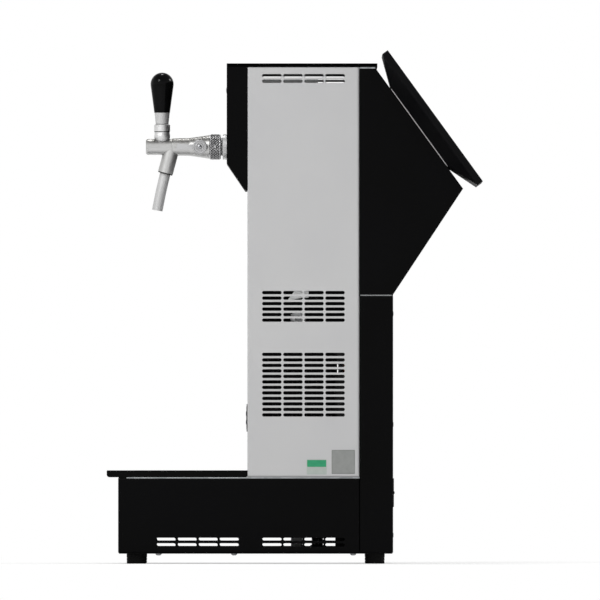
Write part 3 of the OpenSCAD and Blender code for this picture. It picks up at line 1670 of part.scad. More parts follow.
base_pan();
base_side_right();
base_side_left();
base_front();
base_deck();
feet();
base_screws();
drip_tray();
drip_grid();
tower_side_right();
tower_side_left();
tower_front();
tower_back();
head_cover();
status_lamp();
top_lid();
housing_cheek_right();
housing_cheek_left();
housing_slope();
housing_underside();
column_side_right();
column_side_left();
column_back();
power_inlet();
power_switch();
control_plate();
screen_mount();
mount_screws();
screen_back();
screen_bezel();
screen_glass();
tap_shank();
shank_locknut();
tap_nut();
tap_body();
tap_spout();
tap_lever();
handle_collar();
handle_ferrule();
handle_knob();
tap_piston();
compensator_lever();
compensator_cone();
compressor();
compressor_mounts();
condenser_tray();
condenser();
fan_shroud();
fan_motor();
fan_blade();
electrics_box();
block_shelf();
insulation();
insulation_lid();
cold_block();
beer_inlet();
beer_line();
suction_pipe();
discharge_pipe();
liquid_line();
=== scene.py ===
import math

import bmesh
import bpy
from mathutils import Matrix, Vector


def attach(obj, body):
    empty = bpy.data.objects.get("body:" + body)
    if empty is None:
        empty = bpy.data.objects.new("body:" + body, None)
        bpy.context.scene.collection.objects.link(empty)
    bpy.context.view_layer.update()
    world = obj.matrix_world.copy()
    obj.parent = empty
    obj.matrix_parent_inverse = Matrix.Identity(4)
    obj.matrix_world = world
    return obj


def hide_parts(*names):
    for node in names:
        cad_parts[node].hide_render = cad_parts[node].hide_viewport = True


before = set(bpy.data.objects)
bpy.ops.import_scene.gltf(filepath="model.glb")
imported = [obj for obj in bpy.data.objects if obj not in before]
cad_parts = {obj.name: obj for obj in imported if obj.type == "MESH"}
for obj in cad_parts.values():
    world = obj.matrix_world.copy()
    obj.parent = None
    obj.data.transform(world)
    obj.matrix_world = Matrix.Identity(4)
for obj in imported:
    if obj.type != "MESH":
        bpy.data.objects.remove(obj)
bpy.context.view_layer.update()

# Studio: a pale sweep under three soft lamps, on the camera side, behind and above.
# The ceiling is darker than the walls, so bright metal shows a duller top. The camera stands square to the
# right side, far enough off that the cooler shows as a true side elevation.
scene = bpy.context.scene
scene.view_settings.view_transform = "Standard"

world = bpy.data.worlds.new("studio")
scene.world = world
world.use_nodes = True
tree = world.node_tree
tree.nodes.clear()
room = tree.nodes.new("ShaderNodeBackground")
room.inputs["Color"].default_value = (1.0, 1.0, 1.0, 1.0)
room.inputs["Strength"].default_value = 0.55
paper = tree.nodes.new("ShaderNodeBackground")
paper.inputs["Color"].default_value = (1.0, 1.0, 1.0, 1.0)
rays = tree.nodes.new("ShaderNodeLightPath")
seen = tree.nodes.new("ShaderNodeMath")
seen.operation = "MAXIMUM"
tree.links.new(rays.outputs["Is Camera Ray"], seen.inputs[0])
tree.links.new(rays.outputs["Is Transmission Ray"], seen.inputs[1])
mirrored = tree.nodes.new("ShaderNodeMath")
mirrored.operation = "MAXIMUM"
tree.links.new(seen.outputs[0], mirrored.inputs[0])
tree.links.new(rays.outputs["Is Glossy Ray"], mirrored.inputs[1])
heading = tree.nodes.new("ShaderNodeTexCoord")
axes = tree.nodes.new("ShaderNodeSeparateXYZ")
tree.links.new(heading.outputs["Generated"], axes.inputs[0])
ceiling = tree.nodes.new("ShaderNodeMapRange")
ceiling.interpolation_type = "SMOOTHSTEP"
ceiling.inputs["From Min"].default_value = 0.25
ceiling.inputs["From Max"].default_value = 0.85
ceiling.inputs["To Min"].default_value = 1.0
ceiling.inputs["To Max"].default_value = 0.25
tree.links.new(axes.outputs["Z"], ceiling.inputs["Value"])
brightness = tree.nodes.new("ShaderNodeMath")
brightness.operation = "MAXIMUM"
tree.links.new(seen.outputs[0], brightness.inputs[0])
tree.links.new(ceiling.outputs[0], brightness.inputs[1])
tree.links.new(brightness.outputs[0], paper.inputs["Strength"])
choice = tree.nodes.new("ShaderNodeMixShader")
tree.links.new(mirrored.outputs[0], choice.inputs[0])
tree.links.new(room.outputs[0], choice.inputs[1])
tree.links.new(paper.outputs[0], choice.inputs[2])
sky = tree.nodes.new("ShaderNodeOutputWorld")
tree.links.new(choice.outputs[0], sky.inputs["Surface"])

floor_mesh = bpy.data.meshes.new("sweep")
floor_bm = bmesh.new()
bmesh.ops.create_circle(floor_bm, cap_ends=True, segments=64, radius=9.0)
floor_bm.to_mesh(floor_mesh)
floor_bm.free()
floor = bpy.data.objects.new("sweep", floor_mesh)
scene.collection.objects.link(floor)
floor_mat = bpy.data.materials.new("pale sweep")
floor_mat.use_nodes = True
tree = floor_mat.node_tree
tree.nodes.clear()
lit = tree.nodes.new("ShaderNodeBsdfDiffuse")
lit.inputs["Color"].default_value = (0.92, 0.92, 0.92, 1.0)
glow = tree.nodes.new("ShaderNodeEmission")
glow.inputs["Color"].default_value = (1.0, 1.0, 1.0, 1.0)
glow.inputs["Strength"].default_value = 1.0
place = tree.nodes.new("ShaderNodeTexCoord")
reach = tree.nodes.new("ShaderNodeVectorMath")
reach.operation = "LENGTH"
tree.links.new(place.outputs["Object"], reach.inputs[0])
fade = tree.nodes.new("ShaderNodeMapRange")
fade.interpolation_type = "SMOOTHSTEP"
fade.inputs["From Min"].default_value = 0.25
fade.inputs["From Max"].default_value = 0.95
fade.inputs["To Min"].default_value = 0.45
fade.inputs["To Max"].default_value = 1.0
tree.links.new(reach.outputs["Value"], fade.inputs["Value"])
rays = tree.nodes.new("ShaderNodeLightPath")
share = tree.nodes.new("ShaderNodeMath")
share.operation = "MULTIPLY"
tree.links.new(rays.outputs["Is Camera Ray"], share.inputs[0])
tree.links.new(fade.outputs[0], share.inputs[1])
choice = tree.nodes.new("ShaderNodeMixShader")
tree.links.new(share.outputs[0], choice.inputs[0])
tree.links.new(lit.outputs[0], choice.inputs[1])
tree.links.new(glow.outputs[0], choice.inputs[2])
ground = tree.nodes.new("ShaderNodeOutputMaterial")
tree.links.new(choice.outputs[0], ground.inputs["Surface"])
floor_mesh.materials.append(floor_mat)


def soft_lamp(name, place, size, watts):
    lamp = bpy.data.lights.new(name, "AREA")
    lamp.shape = "DISK"
    lamp.size = size
    lamp.energy = watts
    stand = bpy.data.objects.new(name, lamp)
    stand.location = place
    aim = Vector((0.0, 0.0, 0.35)) - Vector(place)
    stand.rotation_euler = aim.to_track_quat("-Z", "Y").to_euler()
    stand.visible_camera = False
    scene.collection.objects.link(stand)


soft_lamp("key lamp", (2.3, -1.8, 2.8), 0.9, 64)
soft_lamp("rear lamp", (-0.8, 2.9, 2.4), 0.8, 42)
soft_lamp("top lamp", (-1.4, -0.2, 3.9), 0.8, 30)

FACE_X, REACH = 0.14, 39.667
EYE_Z, MIDDLE_Z = 0.18, 0.3692
lens = bpy.data.cameras.new("side camera")
lens.lens = 1700.0
lens.sensor_width = 36.0
lens.clip_end = 120.0
camera = bpy.data.objects.new("side camera", lens)
camera.location = (FACE_X + REACH, 0.0074, EYE_Z)
camera.rotation_euler = (math.pi / 2 + math.atan2(MIDDLE_Z - EYE_Z, REACH), 0.0, math.pi / 2)
scene.collection.objects.link(camera)
scene.camera = camera

# Base shell: folded steel sides, a lapped front and the floor pan, all in black powder coat.
# The coat is fine-textured and satin, lighter along the folds and punched edges: partly thin coat, partly painted
# highlight.
# The sides are punched with air slots and screwed to the pan from below.


def ink(code):
    """Linear colour of a six-figure sRGB code."""
    parts = [int(code[i:i + 2], 16) / 255 for i in (0, 2, 4)]
    return tuple(c / 12.92 if c <= 0.04045 else ((c + 0.055) / 1.055) ** 2.4 for c in parts) + (1.0,)


def effect(name, inputs, outputs):
    """Empty shader node group with named sockets: the tree, its inlet and its outlet."""
    made = bpy.data.node_groups.new(name, "ShaderNodeTree")
    for label, kind, value in inputs:
        socket = made.interface.new_socket(label, in_out="INPUT", socket_type=kind)
        socket.default_value = value
    for label, kind in outputs:
        made.interface.new_socket(label, in_out="OUTPUT", socket_type=kind)
    return made, made.nodes.new("NodeGroupInput"), made.nodes.new("NodeGroupOutput")


def maths(made, operation, first, second, clamp=False):
    node = made.nodes.new("ShaderNodeMath")
    node.operation = operation
    node.use_clamp = clamp
    for socket, value in zip(node.inputs, (first, second)):
        if isinstance(value, (int, float)):
            socket.default_value = value
        else:
            made.links.new(value, socket)
    return node.outputs[0]


# rounded look of a bent or broken edge
rounding, inlet, outlet = effect(
    "rounded edge", [("Radius", "NodeSocketFloat", 0.0006)], [("Normal", "NodeSocketVector")])
turn = rounding.nodes.new("ShaderNodeBevel")
turn.samples = 6
rounding.links.new(inlet.outputs["Radius"], turn.inputs["Radius"])
rounding.links.new(turn.outputs[0], outlet.inputs["Normal"])

# lighter edges, partly rubbed wear and partly painted highlight, broken up by a coarse noise
edge_wear_and_highlight, inlet, outlet = effect(
    "rubbed edge",
    [("Radius", "NodeSocketFloat", 0.0012), ("Break-up", "NodeSocketFloat", 90.0), ("Amount", "NodeSocketFloat", 1.0)],
    [("Mask", "NodeSocketFloat")])
turn = edge_wear_and_highlight.nodes.new("ShaderNodeBevel")
turn.samples = 6
edge_wear_and_highlight.links.new(inlet.outputs["Radius"], turn.inputs["Radius"])
flat = edge_wear_and_highlight.nodes.new("ShaderNodeNewGeometry")
dot = edge_wear_and_highlight.nodes.new("ShaderNodeVectorMath")
dot.operation = "DOT_PRODUCT"
edge_wear_and_highlight.links.new(turn.outputs[0], dot.inputs[0])
edge_wear_and_highlight.links.new(flat.outputs["Normal"], dot.inputs[1])
away = maths(edge_wear_and_highlight, "SUBTRACT", 1.0, dot.outputs["Value"], True)
place = edge_wear_and_highlight.nodes.new("ShaderNodeTexCoord")
speck = edge_wear_and_highlight.nodes.new("ShaderNodeTexNoise")
speck.inputs["Detail"].default_value = 4.0
edge_wear_and_highlight.links.new(place.outputs["Object"], speck.inputs["Vector"])
edge_wear_and_highlight.links.new(inlet.outputs["Break-up"], speck.inputs["Scale"])
wear_and_edge_light = maths(edge_wear_and_highlight, "MULTIPLY", maths(edge_wear_and_highlight, "MULTIPLY", away, 3.2, True), speck.outputs[0])
edge_wear_and_highlight.links.new(maths(edge_wear_and_highlight, "MULTIPLY", wear_and_edge_light, inlet.outputs["Amount"], True), outlet.inputs["Mask"])

# fine grain: a height for bump and a slow tone for colour and gloss
graining, inlet, outlet = effect(
    "fine grain",
    [("Scale", "NodeSocketFloat", 900.0), ("Tone scale", "NodeSocketFloat", 9.0)],
    [("Height", "NodeSocketFloat"), ("Tone", "NodeSocketFloat")])
place = graining.nodes.new("ShaderNodeTexCoord")
for scale, detail, out in (("Scale", 3.0, "Height"), ("Tone scale", 5.0, "Tone")):
    cloud = graining.nodes.new("ShaderNodeTexNoise")
    cloud.inputs["Detail"].default_value = detail
    graining.links.new(place.outputs["Object"], cloud.inputs["Vector"])
    graining.links.new(inlet.outputs[scale], cloud.inputs["Scale"])
    graining.links.new(cloud.outputs[0], outlet.inputs[out])

# dust that settles on faces turned upwards; bright metal uses the same mask as painted shade on its tops
dust_and_painted_top_shade, inlet, outlet = effect(
    "settled dust",
    [("Amount", "NodeSocketFloat", 0.2), ("Scale", "NodeSocketFloat", 60.0)], [("Mask", "NodeSocketFloat")])
place = dust_and_painted_top_shade.nodes.new("ShaderNodeTexCoord")
split = dust_and_painted_top_shade.nodes.new("ShaderNodeSeparateXYZ")
dust_and_painted_top_shade.links.new(place.outputs["Normal"], split.inputs[0])
cloud = dust_and_painted_top_shade.nodes.new("ShaderNodeTexNoise")
cloud.inputs["Detail"].default_value = 6.0
dust_and_painted_top_shade.links.new(place.outputs["Object"], cloud.inputs["Vector"])
dust_and_painted_top_shade.links.new(inlet.outputs["Scale"], cloud.inputs["Scale"])
upward = maths(dust_and_painted_top_shade, "MULTIPLY", maths(dust_and_painted_top_shade, "MAXIMUM", split.outputs["Z"], 0.0), cloud.outputs[0])
dust_and_painted_top_shade.links.new(maths(dust_and_painted_top_shade, "MULTIPLY", upward, inlet.outputs["Amount"], True), outlet.inputs["Mask"])


class Finish:
    """A material with its shader and a few joining steps."""

    def __init__(self, name, **sockets):
        self.material = bpy.data.materials.new(name)
        self.material.use_nodes = True
        self.tree = self.material.node_tree
        self.shader = self.tree.nodes["Principled BSDF"]
        for label, value in sockets.items():
            self.shader.inputs[label.replace("_", " ")].default_value = value

    def put(self, group, **values):
        node = self.tree.nodes.new("ShaderNodeGroup")
        node.node_tree = group
        for label, value in values.items():
            node.inputs[label.replace("_", " ")].default_value = value
        return node

    def mix(self, fac, first, second):
        node = self.tree.nodes.new("ShaderNodeMix")
        node.data_type = "RGBA"
        node.clamp_factor = True
        self.tree.links.new(fac, node.inputs[0])
        for socket, value in ((node.inputs[6], first), (node.inputs[7], second)):
            if isinstance(value, tuple):
                socket.default_value = value
            else:
                self.tree.links.new(value, socket)
        return node.outputs[2]

    def span(self, value, low, high, start=0.3, stop=0.7):
        node = self.tree.nodes.new("ShaderNodeMapRange")
        node.inputs["From Min"].default_value = start
        node.inputs["From Max"].default_value = stop
        node.inputs["To Min"].default_value = low
        node.inputs["To Max"].default_value = high
        self.tree.links.new(value, node.inputs["Value"])
        return node.outputs[0]

    def feed(self, output, label):
        self.tree.links.new(output, self.shader.inputs[label])

    def bump(self, height, depth, normal=None):
        node = self.tree.nodes.new("ShaderNodeBump")
        node.inputs["Strength"].default_value = 1.0
        node.inputs["Distance"].default_value = depth
        self.tree.links.new(height, node.inputs["Height"])
        if normal is not None:
            self.tree.links.new(normal, node.inputs["Normal"])
        self.feed(node.outputs[0], "Normal")


def powder_coat(name, deep, light, edge_wear_highlight, grain=1100.0, depth=0.00006, rough=(0.42, 0.56), dust=0.05, specular=0.045):
    """Sprayed and baked powder on steel: two close tones, fine peel, folds lighter from wear and painted highlight, a
    trace of dust.
    """
    coat = Finish(name, **{"Specular IOR Level": specular})
    peel = coat.put(graining, Scale=grain, Tone_scale=7.0)
    edge = coat.put(edge_wear_and_highlight, Radius=0.0009, Amount=0.7)
    dust_lay = coat.put(dust_and_painted_top_shade, Amount=dust)
    tone = coat.mix(coat.span(peel.outputs["Tone"], 0.0, 1.0), ink(deep), ink(light))
    tone = coat.mix(edge.outputs["Mask"], tone, ink(edge_wear_highlight))
    coat.feed(coat.mix(dust_lay.outputs["Mask"], tone, ink("868584")), "Base Color")
    coat.feed(coat.span(peel.outputs["Tone"], *rough), "Roughness")
    coat.bump(peel.outputs["Height"], depth, coat.put(rounding, Radius=0.0007).outputs["Normal"])
    return coat.material


def dress(material, *names):
    """Gives CAD nodes their finish."""
    for name in names:
        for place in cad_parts[name].material_slots:
            place.material = material


black_coat = powder_coat("black powder coat", "040404", "060607", "1c1c1e")
dress(black_coat, "base_pan", "base_side_right", "base_side_left", "base_front")

# Feet: four moulded rubber feet on steel studs, ribbed round the side and hollow underneath.
# Each stud goes up through the pan and is nutted inside the base.
ORIGIN_U = 247.23


def at(u):
    """Depth from the base front, in millimetres, as a place along the part's own Y."""
    return (u - ORIGIN_U) / 1000


def turned(profile, steps=48, closed=False):
    """Turned form about +Z from (radius, height) points in millimetres; a third item shapes the ring by angle."""
    form = bmesh.new()
    rings = []
    for point in profile:
        radius, height = point[0] / 1000, point[1] / 1000
        if radius == 0:
            rings.append([form.verts.new((0, 0, height))])
            continue
        ring = []
        for i in range(steps):
            angle = 2 * math.pi * i / steps
            reach = radius * point[2](angle) if len(point) > 2 else radius
            ring.append(form.verts.new((reach * math.cos(angle), reach * math.sin(angle), height)))
        rings.append(ring)
    pairs = list(zip(rings, rings[1:])) + ([(rings[-1], rings[0])] if closed else [])
    for low, high in pairs:
        for i in range(steps):
            j = (i + 1) % steps
            corners = [low[i % len(low)], low[j % len(low)], high[j % len(high)], high[i % len(high)]]
            corners = [v for k, v in enumerate(corners) if v not in corners[:k]]
            if len(corners) > 2:
                form.faces.new(corners)
    bmesh.ops.recalc_face_normals(form, faces=form.faces)
    return form


def piece(name, form, material, body, places=(Matrix.Identity(4),), crease=35):
    """Copies of a form at their places, as one object that rides on a body."""
    sheet = bpy.data.meshes.new(name)
    whole = bmesh.new()
    part = bpy.data.meshes.new("part")
    for place in places:
        copy = form.copy()
        copy.transform(place)
        copy.to_mesh(part)
        whole.from_mesh(part)
        copy.free()
    bpy.data.meshes.remove(part)
    form.free()
    for face in whole.faces:
        face.smooth = True
    whole.to_mesh(sheet)
    whole.free()
    sheet.set_sharp_from_angle(angle=math.radians(crease))
    sheet.materials.append(material)
    made = bpy.data.objects.new(name, sheet)
    scene.collection.objects.link(made)
    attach(made, body)
    return made


FOOT_X, FOOT_U = 114.5, (25.5, 359.5)
foot_places = [Matrix.Translation((x / 1000, at(u), 0)) for x in (-FOOT_X, FOOT_X) for u in FOOT_U]
rubber = Finish("black rubber", **{"Specular IOR Level": 0.15})
skin = rubber.put(graining, Scale=1400.0, Tone_scale=30.0)
dust_lay = rubber.put(dust_and_painted_top_shade, Amount=0.5)
tone = rubber.mix(rubber.span(skin.outputs["Tone"], 0.0, 1.0), ink("050505"), ink("0b0b0b"))
rubber.feed(rubber.mix(dust_lay.outputs["Mask"], tone, ink("4a4843")), "Base Color")
rubber.feed(rubber.span(skin.outputs["Tone"], 0.7, 0.88), "Roughness")
rubber.bump(skin.outputs["Height"], 0.00012)
foot = turned([(0, 6), (6.5, 6), (6.9, 5.6), (6.9, 0), (13.0, 0), (13.5, 0.6), (13.55, 3.2), (13.1, 3.5), (13.1, 4.1),
               (13.6, 4.4), (13.65, 7.4), (13.2, 7.7), (13.2, 8.3), (13.7, 8.6), (13.8, 13.4), (13.4, 13.95),
               (3, 13.95), (3, 21.2), (2.6, 21.5), (0, 21.5)])
feet = piece("rubber_feet", foot, rubber.material, "cabinet", foot_places)
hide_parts("feet")

# Base screws: six dome-head steel screws with a hexagon socket, bright zinc plated.
# They go up through the floor pan into the folds of the side panels.


def six_sided(angle):
    """Share of the corner radius that a hexagon has at an angle."""
    return math.cos(math.pi / 6) / math.cos(angle % (math.pi / 3) - math.pi / 6)


SCREW_X, SCREW_U = 134.0, (56.51, 162.35, 329.0)
PAN_Z = 14.0
screw_places = [Matrix.Translation((x / 1000, at(u), PAN_Z / 1000)) for x in (-SCREW_X, SCREW_X) for u in SCREW_U]


def plated(name, deep, light, edge_wear_highlight):
    """Barrel-plated small hardware: fine grain, brighter on its edges from wear and painted highlight."""
    coat = Finish(name, Metallic=0.9)
    skin = coat.put(graining, Scale=2200.0, Tone_scale=120.0)
    edge = coat.put(edge_wear_and_highlight, Radius=0.0004, Amount=1.0)
    tone = coat.mix(coat.span(skin.outputs["Tone"], 0.0, 1.0), ink(deep), ink(light))
    coat.feed(coat.mix(edge.outputs["Mask"], tone, ink(edge_wear_highlight)), "Base Color")
    coat.feed(coat.span(skin.outputs["Tone"], 0.3, 0.5), "Roughness")
    coat.bump(skin.outputs["Height"], 0.00003)
    return coat.material


bright_zinc = plated("bright zinc", "8f9092", "a3a4a6", "cfd0d2")
dome_screw = turned([(0, -0.9), (1.45, -0.9, six_sided), (1.5, -2.35, six_sided), (1.9, -2.4), (2.8, -2.0),
                     (3.6, -1.35), (4.1, -0.5), (4.2, 0), (2, 0), (2, 6.5), (1.7, 6.7), (0, 6.7)], steps=36)
screws = piece("base_dome_screws", dome_screw, bright_zinc, "cabinet", screw_places)
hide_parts("base_screws")

# Deck: a galvanised sheet that closes the base and carries the tray rim and the tower.
# Hot-dip zinc leaves a flake pattern, and the same sheet makes the tower's rear wall and inner shelves.
spangling, inlet, outlet = effect(
    "zinc spangle", [("Scale", "NodeSocketFloat", 70.0)], [("Tone", "NodeSocketFloat"), ("Height", "NodeSocketFloat")])
place = spangling.nodes.new("ShaderNodeTexCoord")
flakes = spangling.nodes.new("ShaderNodeTexVoronoi")
spangling.links.new(place.outputs["Object"], flakes.inputs["Vector"])
spangling.links.new(inlet.outputs["Scale"], flakes.inputs["Scale"])
split = spangling.nodes.new("ShaderNodeSeparateColor")
spangling.links.new(flakes.outputs["Color"], split.inputs[0])
spangling.links.new(split.outputs[0], outlet.inputs["Tone"])
spangling.links.new(flakes.outputs["Distance"], outlet.inputs["Height"])
galvanised = Finish("galvanised sheet", Metallic=0.85)
flake = galvanised.put(spangling, Scale=95.0)
# the lighter edges are partly wear and partly painted highlight
edge = galvanised.put(edge_wear_and_highlight, Radius=0.0006, Amount=0.6)
tone = galvanised.mix(flake.outputs["Tone"], ink("8e9294"), ink("b3b6b8"))
galvanised.feed(galvanised.mix(edge.outputs["Mask"], tone, ink("d5d7d8")), "Base Color")
galvanised.feed(galvanised.span(flake.outputs["Tone"], 0.32, 0.52, 0.0, 1.0), "Roughness")
galvanised.bump(flake.outputs["Height"], 0.00004)
dress(galvanised.material, "base_deck", "tower_back", "condenser_tray", "block_shelf")

# Drip tray: one black moulding with a rim that hooks over the base front and a well under the grid.
# It lifts out for washing and rests in front on a rubber seal; the moulding has a fine spark-eroded texture.


def moulded(name, deep, light, wear_and_edge_light="222224", grain=1500.0, depth=0.00008, rough=(0.45, 0.6), specular=0.05, dust=0.06):
    """Textured plastic moulding, lighter on its edges from wear and painted highlight."""
    shell = Finish(name, **{"Specular IOR Level": specular})
    skin = shell.put(graining, Scale=grain, Tone_scale=16.0)
    edge = shell.put(edge_wear_and_highlight, Radius=0.0008, Amount=0.5)
    dust_lay = shell.put(dust_and_painted_top_shade, Amount=dust, Scale=80.0)
    tone = shell.mix(shell.span(skin.outputs["Tone"], 0.0, 1.0), ink(deep), ink(light))
    tone = shell.mix(edge.outputs["Mask"], tone, ink(wear_and_edge_light))
    shell.feed(shell.mix(dust_lay.outputs["Mask"], tone, ink("868584")), "Base Color")
    shell.feed(shell.span(skin.outputs["Tone"], *rough), "Roughness")
    shell.bump(skin.outputs["Height"], depth, shell.put(rounding, Radius=0.0008).outputs["Normal"])
    return shell.material


tray_plastic = moulded("black tray moulding", "040404", "070707")
dress(tray_plastic, "drip_tray")


def tape(width, depth, height):
    """Strip of foam tape with softened edges, in millimetres, standing on its own foot."""
    form = bmesh.new()
    bmesh.ops.create_cube(form, size=1.0, matrix=Matrix.Translation((0, 0, height / 2000)) @ Matrix.Diagonal(
        (width / 1000, depth / 1000, height / 1000, 1.0)))
    bmesh.ops.bevel(form, geom=form.edges[:], offset=height / 4000, segments=3, affect="EDGES", clamp_overlap=True)
    return form


SEAL_W, SEAL_D, SEAL_H, SEAL_U, SEAL_Z = 278.6, 11.4, 1.44, 6.0, 119.52
piece("tray_front_seal", tape(SEAL_W, SEAL_D, SEAL_H), rubber.material, "cabinet",
      [Matrix.Translation((0, at(SEAL_U), SEAL_Z / 1000))])

# Drip grid: stainless sheet punched with drain slots and brushed across its width.
# It lies loose on the tray's ledge and lifts off for washing.
brushing, inlet, outlet = effect(
    "brushed lines", [("Stretch", "NodeSocketVector", (40.0, 2500.0, 2500.0))],
    [("Height", "NodeSocketFloat"), ("Tone", "NodeSocketFloat")])
place = brushing.nodes.new("ShaderNodeTexCoord")
along = brushing.nodes.new("ShaderNodeVectorMath")
along.operation = "MULTIPLY"
brushing.links.new(place.outputs["Object"], along.inputs[0])
brushing.links.new(inlet.outputs["Stretch"], along.inputs[1])
line = brushing.nodes.new("ShaderNodeTexNoise")
line.inputs["Scale"].default_value = 1.0
line.inputs["Detail"].default_value = 2.0
brushing.links.new(along.outputs[0], line.inputs["Vector"])
brushing.links.new(line.outputs[0], outlet.inputs["Height"])
cloud = brushing.nodes.new("ShaderNodeTexNoise")
cloud.inputs["Scale"].default_value = 25.0
brushing.links.new(place.outputs["Object"], cloud.inputs["Vector"])
brushing.links.new(cloud.outputs[0], outlet.inputs["Tone"])

# painted shade in corners and grooves, taken from ambient occlusion
painted_shade, inlet, outlet = effect("corner grime", [("Reach", "NodeSocketFloat", 0.003)], [("Mask", "NodeSocketFloat")])
hidden = painted_shade.nodes.new("ShaderNodeAmbientOcclusion")
hidden.samples = 8
painted_shade.links.new(inlet.outputs["Reach"], hidden.inputs["Distance"])
painted_shade.links.new(maths(painted_shade, "SUBTRACT", 1.0, hidden.outputs["AO"], True), outlet.inputs["Mask"])


def bright_metal(name, dark, pale, stretch, rough=(0.2, 0.34), depth=0.00002, edge_wear_highlight_tone="e4e4e4", edge_wear_highlight_amount=0.7,
                 painted_shade_reach=0.005, painted_shade_band=(0.0, 1.0), share=1.0, tarnish_and_painted_top_shade=0.0):
    """Machined or brushed metal: tool lines, edges brighter from wear and painted highlight, painted shade in corners
    and, where asked, painted shade on top.
    """
    metal = Finish(name, Metallic=share)
    lines = metal.put(brushing)
    lines.inputs["Stretch"].default_value = stretch
    edge = metal.put(edge_wear_and_highlight, Radius=0.0005, Amount=edge_wear_highlight_amount)
    corner = metal.put(painted_shade, Reach=painted_shade_reach)
    tone = metal.mix(metal.span(lines.outputs["Tone"], 0.0, 1.0), ink(dark), ink(pale))
    tone = metal.mix(edge.outputs["Mask"], tone, ink(edge_wear_highlight_tone))
    # painted shade on top: faces turned upwards darken towards 6c6a66
    if tarnish_and_painted_top_shade:
        painted_top_shade = metal.put(dust_and_painted_top_shade, Amount=tarnish_and_painted_top_shade, Scale=180.0)
        tone = metal.mix(painted_top_shade.outputs["Mask"], tone, ink("6c6a66"))
    # painted shade: corners and grooves darken towards 1c1b1a
    hollow = metal.span(corner.outputs["Mask"], 0.0, 1.0, *painted_shade_band)
    metal.feed(metal.mix(hollow, tone, ink("1c1b1a")), "Base Color")
    metal.feed(metal.span(lines.outputs["Tone"], *rough), "Roughness")
    metal.bump(lines.outputs["Height"], depth, metal.put(rounding, Radius=0.0004).outputs["Normal"])
    return metal.material


dress(bright_metal("brushed stainless grid", "b4b5b6", "c6c7c8", (45.0, 2200.0, 2200.0)), "drip_grid")

# Tower: two folded steel side panels with punched vent slots and a lapped front panel, standing on the deck.
# All are in smooth light-grey powder coat, and so is the plate that carries the screen.
grey_coat = powder_coat("grey powder coat", "b9b9ba", "bebebe", "d2d2d2", 700.0, 0.00004, (0.4, 0.5), 0.05, 0.2)
dress(grey_coat, "tower_side_right", "tower_side_left", "tower_front", "screen_mount")

# Rating plates: two thin plastic films stuck low on the right side panel.
# One is pale with a green head band, the other a silver-grey film in a thin darker frame.


def plate(width, height, thick, radius, steps=6):
    """Rounded flat plate in its own plane, thickness along +Z, in millimetres."""
    form = bmesh.new()
    rim = []
    for cx, cy, start in ((1, 1, 0), (-1, 1, 90), (-1, -1, 180), (1, -1, 270)):
        for i in range(steps + 1):
            a = math.radians(start + 90 * i / steps)
            rim.append(((cx * (width / 2 - radius) + radius * math.cos(a)) / 1000,
                        (cy * (height / 2 - radius) + radius * math.sin(a)) / 1000))
    low = [form.verts.new((x, y, 0)) for x, y in rim]
    high = [form.verts.new((x, y, thick / 1000)) for x, y in rim]
    form.faces.new(list(reversed(low)))
    form.faces.new(high)
    for i in range(len(rim)):
        j = (i + 1) % len(rim)
        form.faces.new((low[i], low[j], high[j], high[i]))
    return form


def on_right_side(u, z, lift=0.0):
    """Place on the outer face of the right side panel: plate width along the depth, height upwards."""
    return Matrix.Translation((FACE_X + lift / 1000, at(u), z / 1000)) @ Matrix(
        ((0, 0, 1, 0), (1, 0, 0, 0), (0, 1, 0, 0), (0, 0, 0, 1)))


def film(name, deep, light):
    """Plastic film: nearly flat, with a faint mottle and a soft gloss."""
    sheet = Finish(name, **{"Specular IOR Level": 0.25})
    skin = sheet.put(graining, Scale=2600.0, Tone_scale=140.0)
    tone = sheet.span(skin.outputs["Tone"], 0.0, 1.0)
    sheet.feed(sheet.mix(tone, ink(deep), ink(light)), "Base Color")
    sheet.feed(sheet.span(skin.outputs["Tone"], 0.3, 0.42), "Roughness")
    sheet.bump(skin.outputs["Height"], 0.00001)
    return sheet.material


green_film = film("green film", "2c8c62", "35966b")
pale_film = film("pale film", "a3aba5", "aab2ac")
silver_film = film("silver film", "868886", "8e908e")
frame_film = film("grey film border", "747674", "7c7e7c")
FILM_T, UPPER_FILM_T = 0.16, 0.08
PALE_U, PALE_Z, GREEN_Z = 278.0, 135.5, 140.4
SILVER_U, SILVER_Z = 315.2, 142.5
piece("rating_film_pale", plate(28.0, 21.0, FILM_T, 0.8), pale_film, "cabinet",
      [on_right_side(PALE_U, PALE_Z)])
piece("rating_film_green", plate(26.6, 9.6, UPPER_FILM_T, 0.5), green_film, "cabinet",
      [on_right_side(PALE_U, GREEN_Z, FILM_T)])
piece("rating_film_border", plate(32.5, 33.6, FILM_T, 0.8), frame_film, "cabinet",
      [on_right_side(SILVER_U, SILVER_Z)])
piece("rating_film_silver", plate(30.9, 32.0, UPPER_FILM_T, 0.6), silver_film, "cabinet",
      [on_right_side(SILVER_U, SILVER_Z, FILM_T)])

# Head and lid: a folded black steel hood on the tower front that carries the tap, under a flat lid in a duller coat.
# A low smoked lamp dome is pressed into the hood's front.
lid_coat = powder_coat("black lid coat", "020202", "040404", "101011", rough=(0.72, 0.82), specular=0.015)
dress(black_coat, "head_cover")
dress(lid_coat, "top_lid")


def gloss_black(name, rough=0.08, specular=0.3):
    """Polished black plastic with faint handling haze."""
    shine = Finish(name, **{"Specular IOR Level": specular})
    skin = shine.put(graining, Scale=600.0, Tone_scale=55.0)
    shine.feed(shine.mix(shine.span(skin.outputs["Tone"], 0.0, 1.0), ink("060606"), ink("0c0c0d")), "Base Color")
    shine.feed(shine.span(skin.outputs["Tone"], rough, rough + 0.08), "Roughness")
    shine.bump(skin.outputs["Height"], 0.000006)
    return shine.material


dress(gloss_black("smoked lamp dome"), "status_lamp")

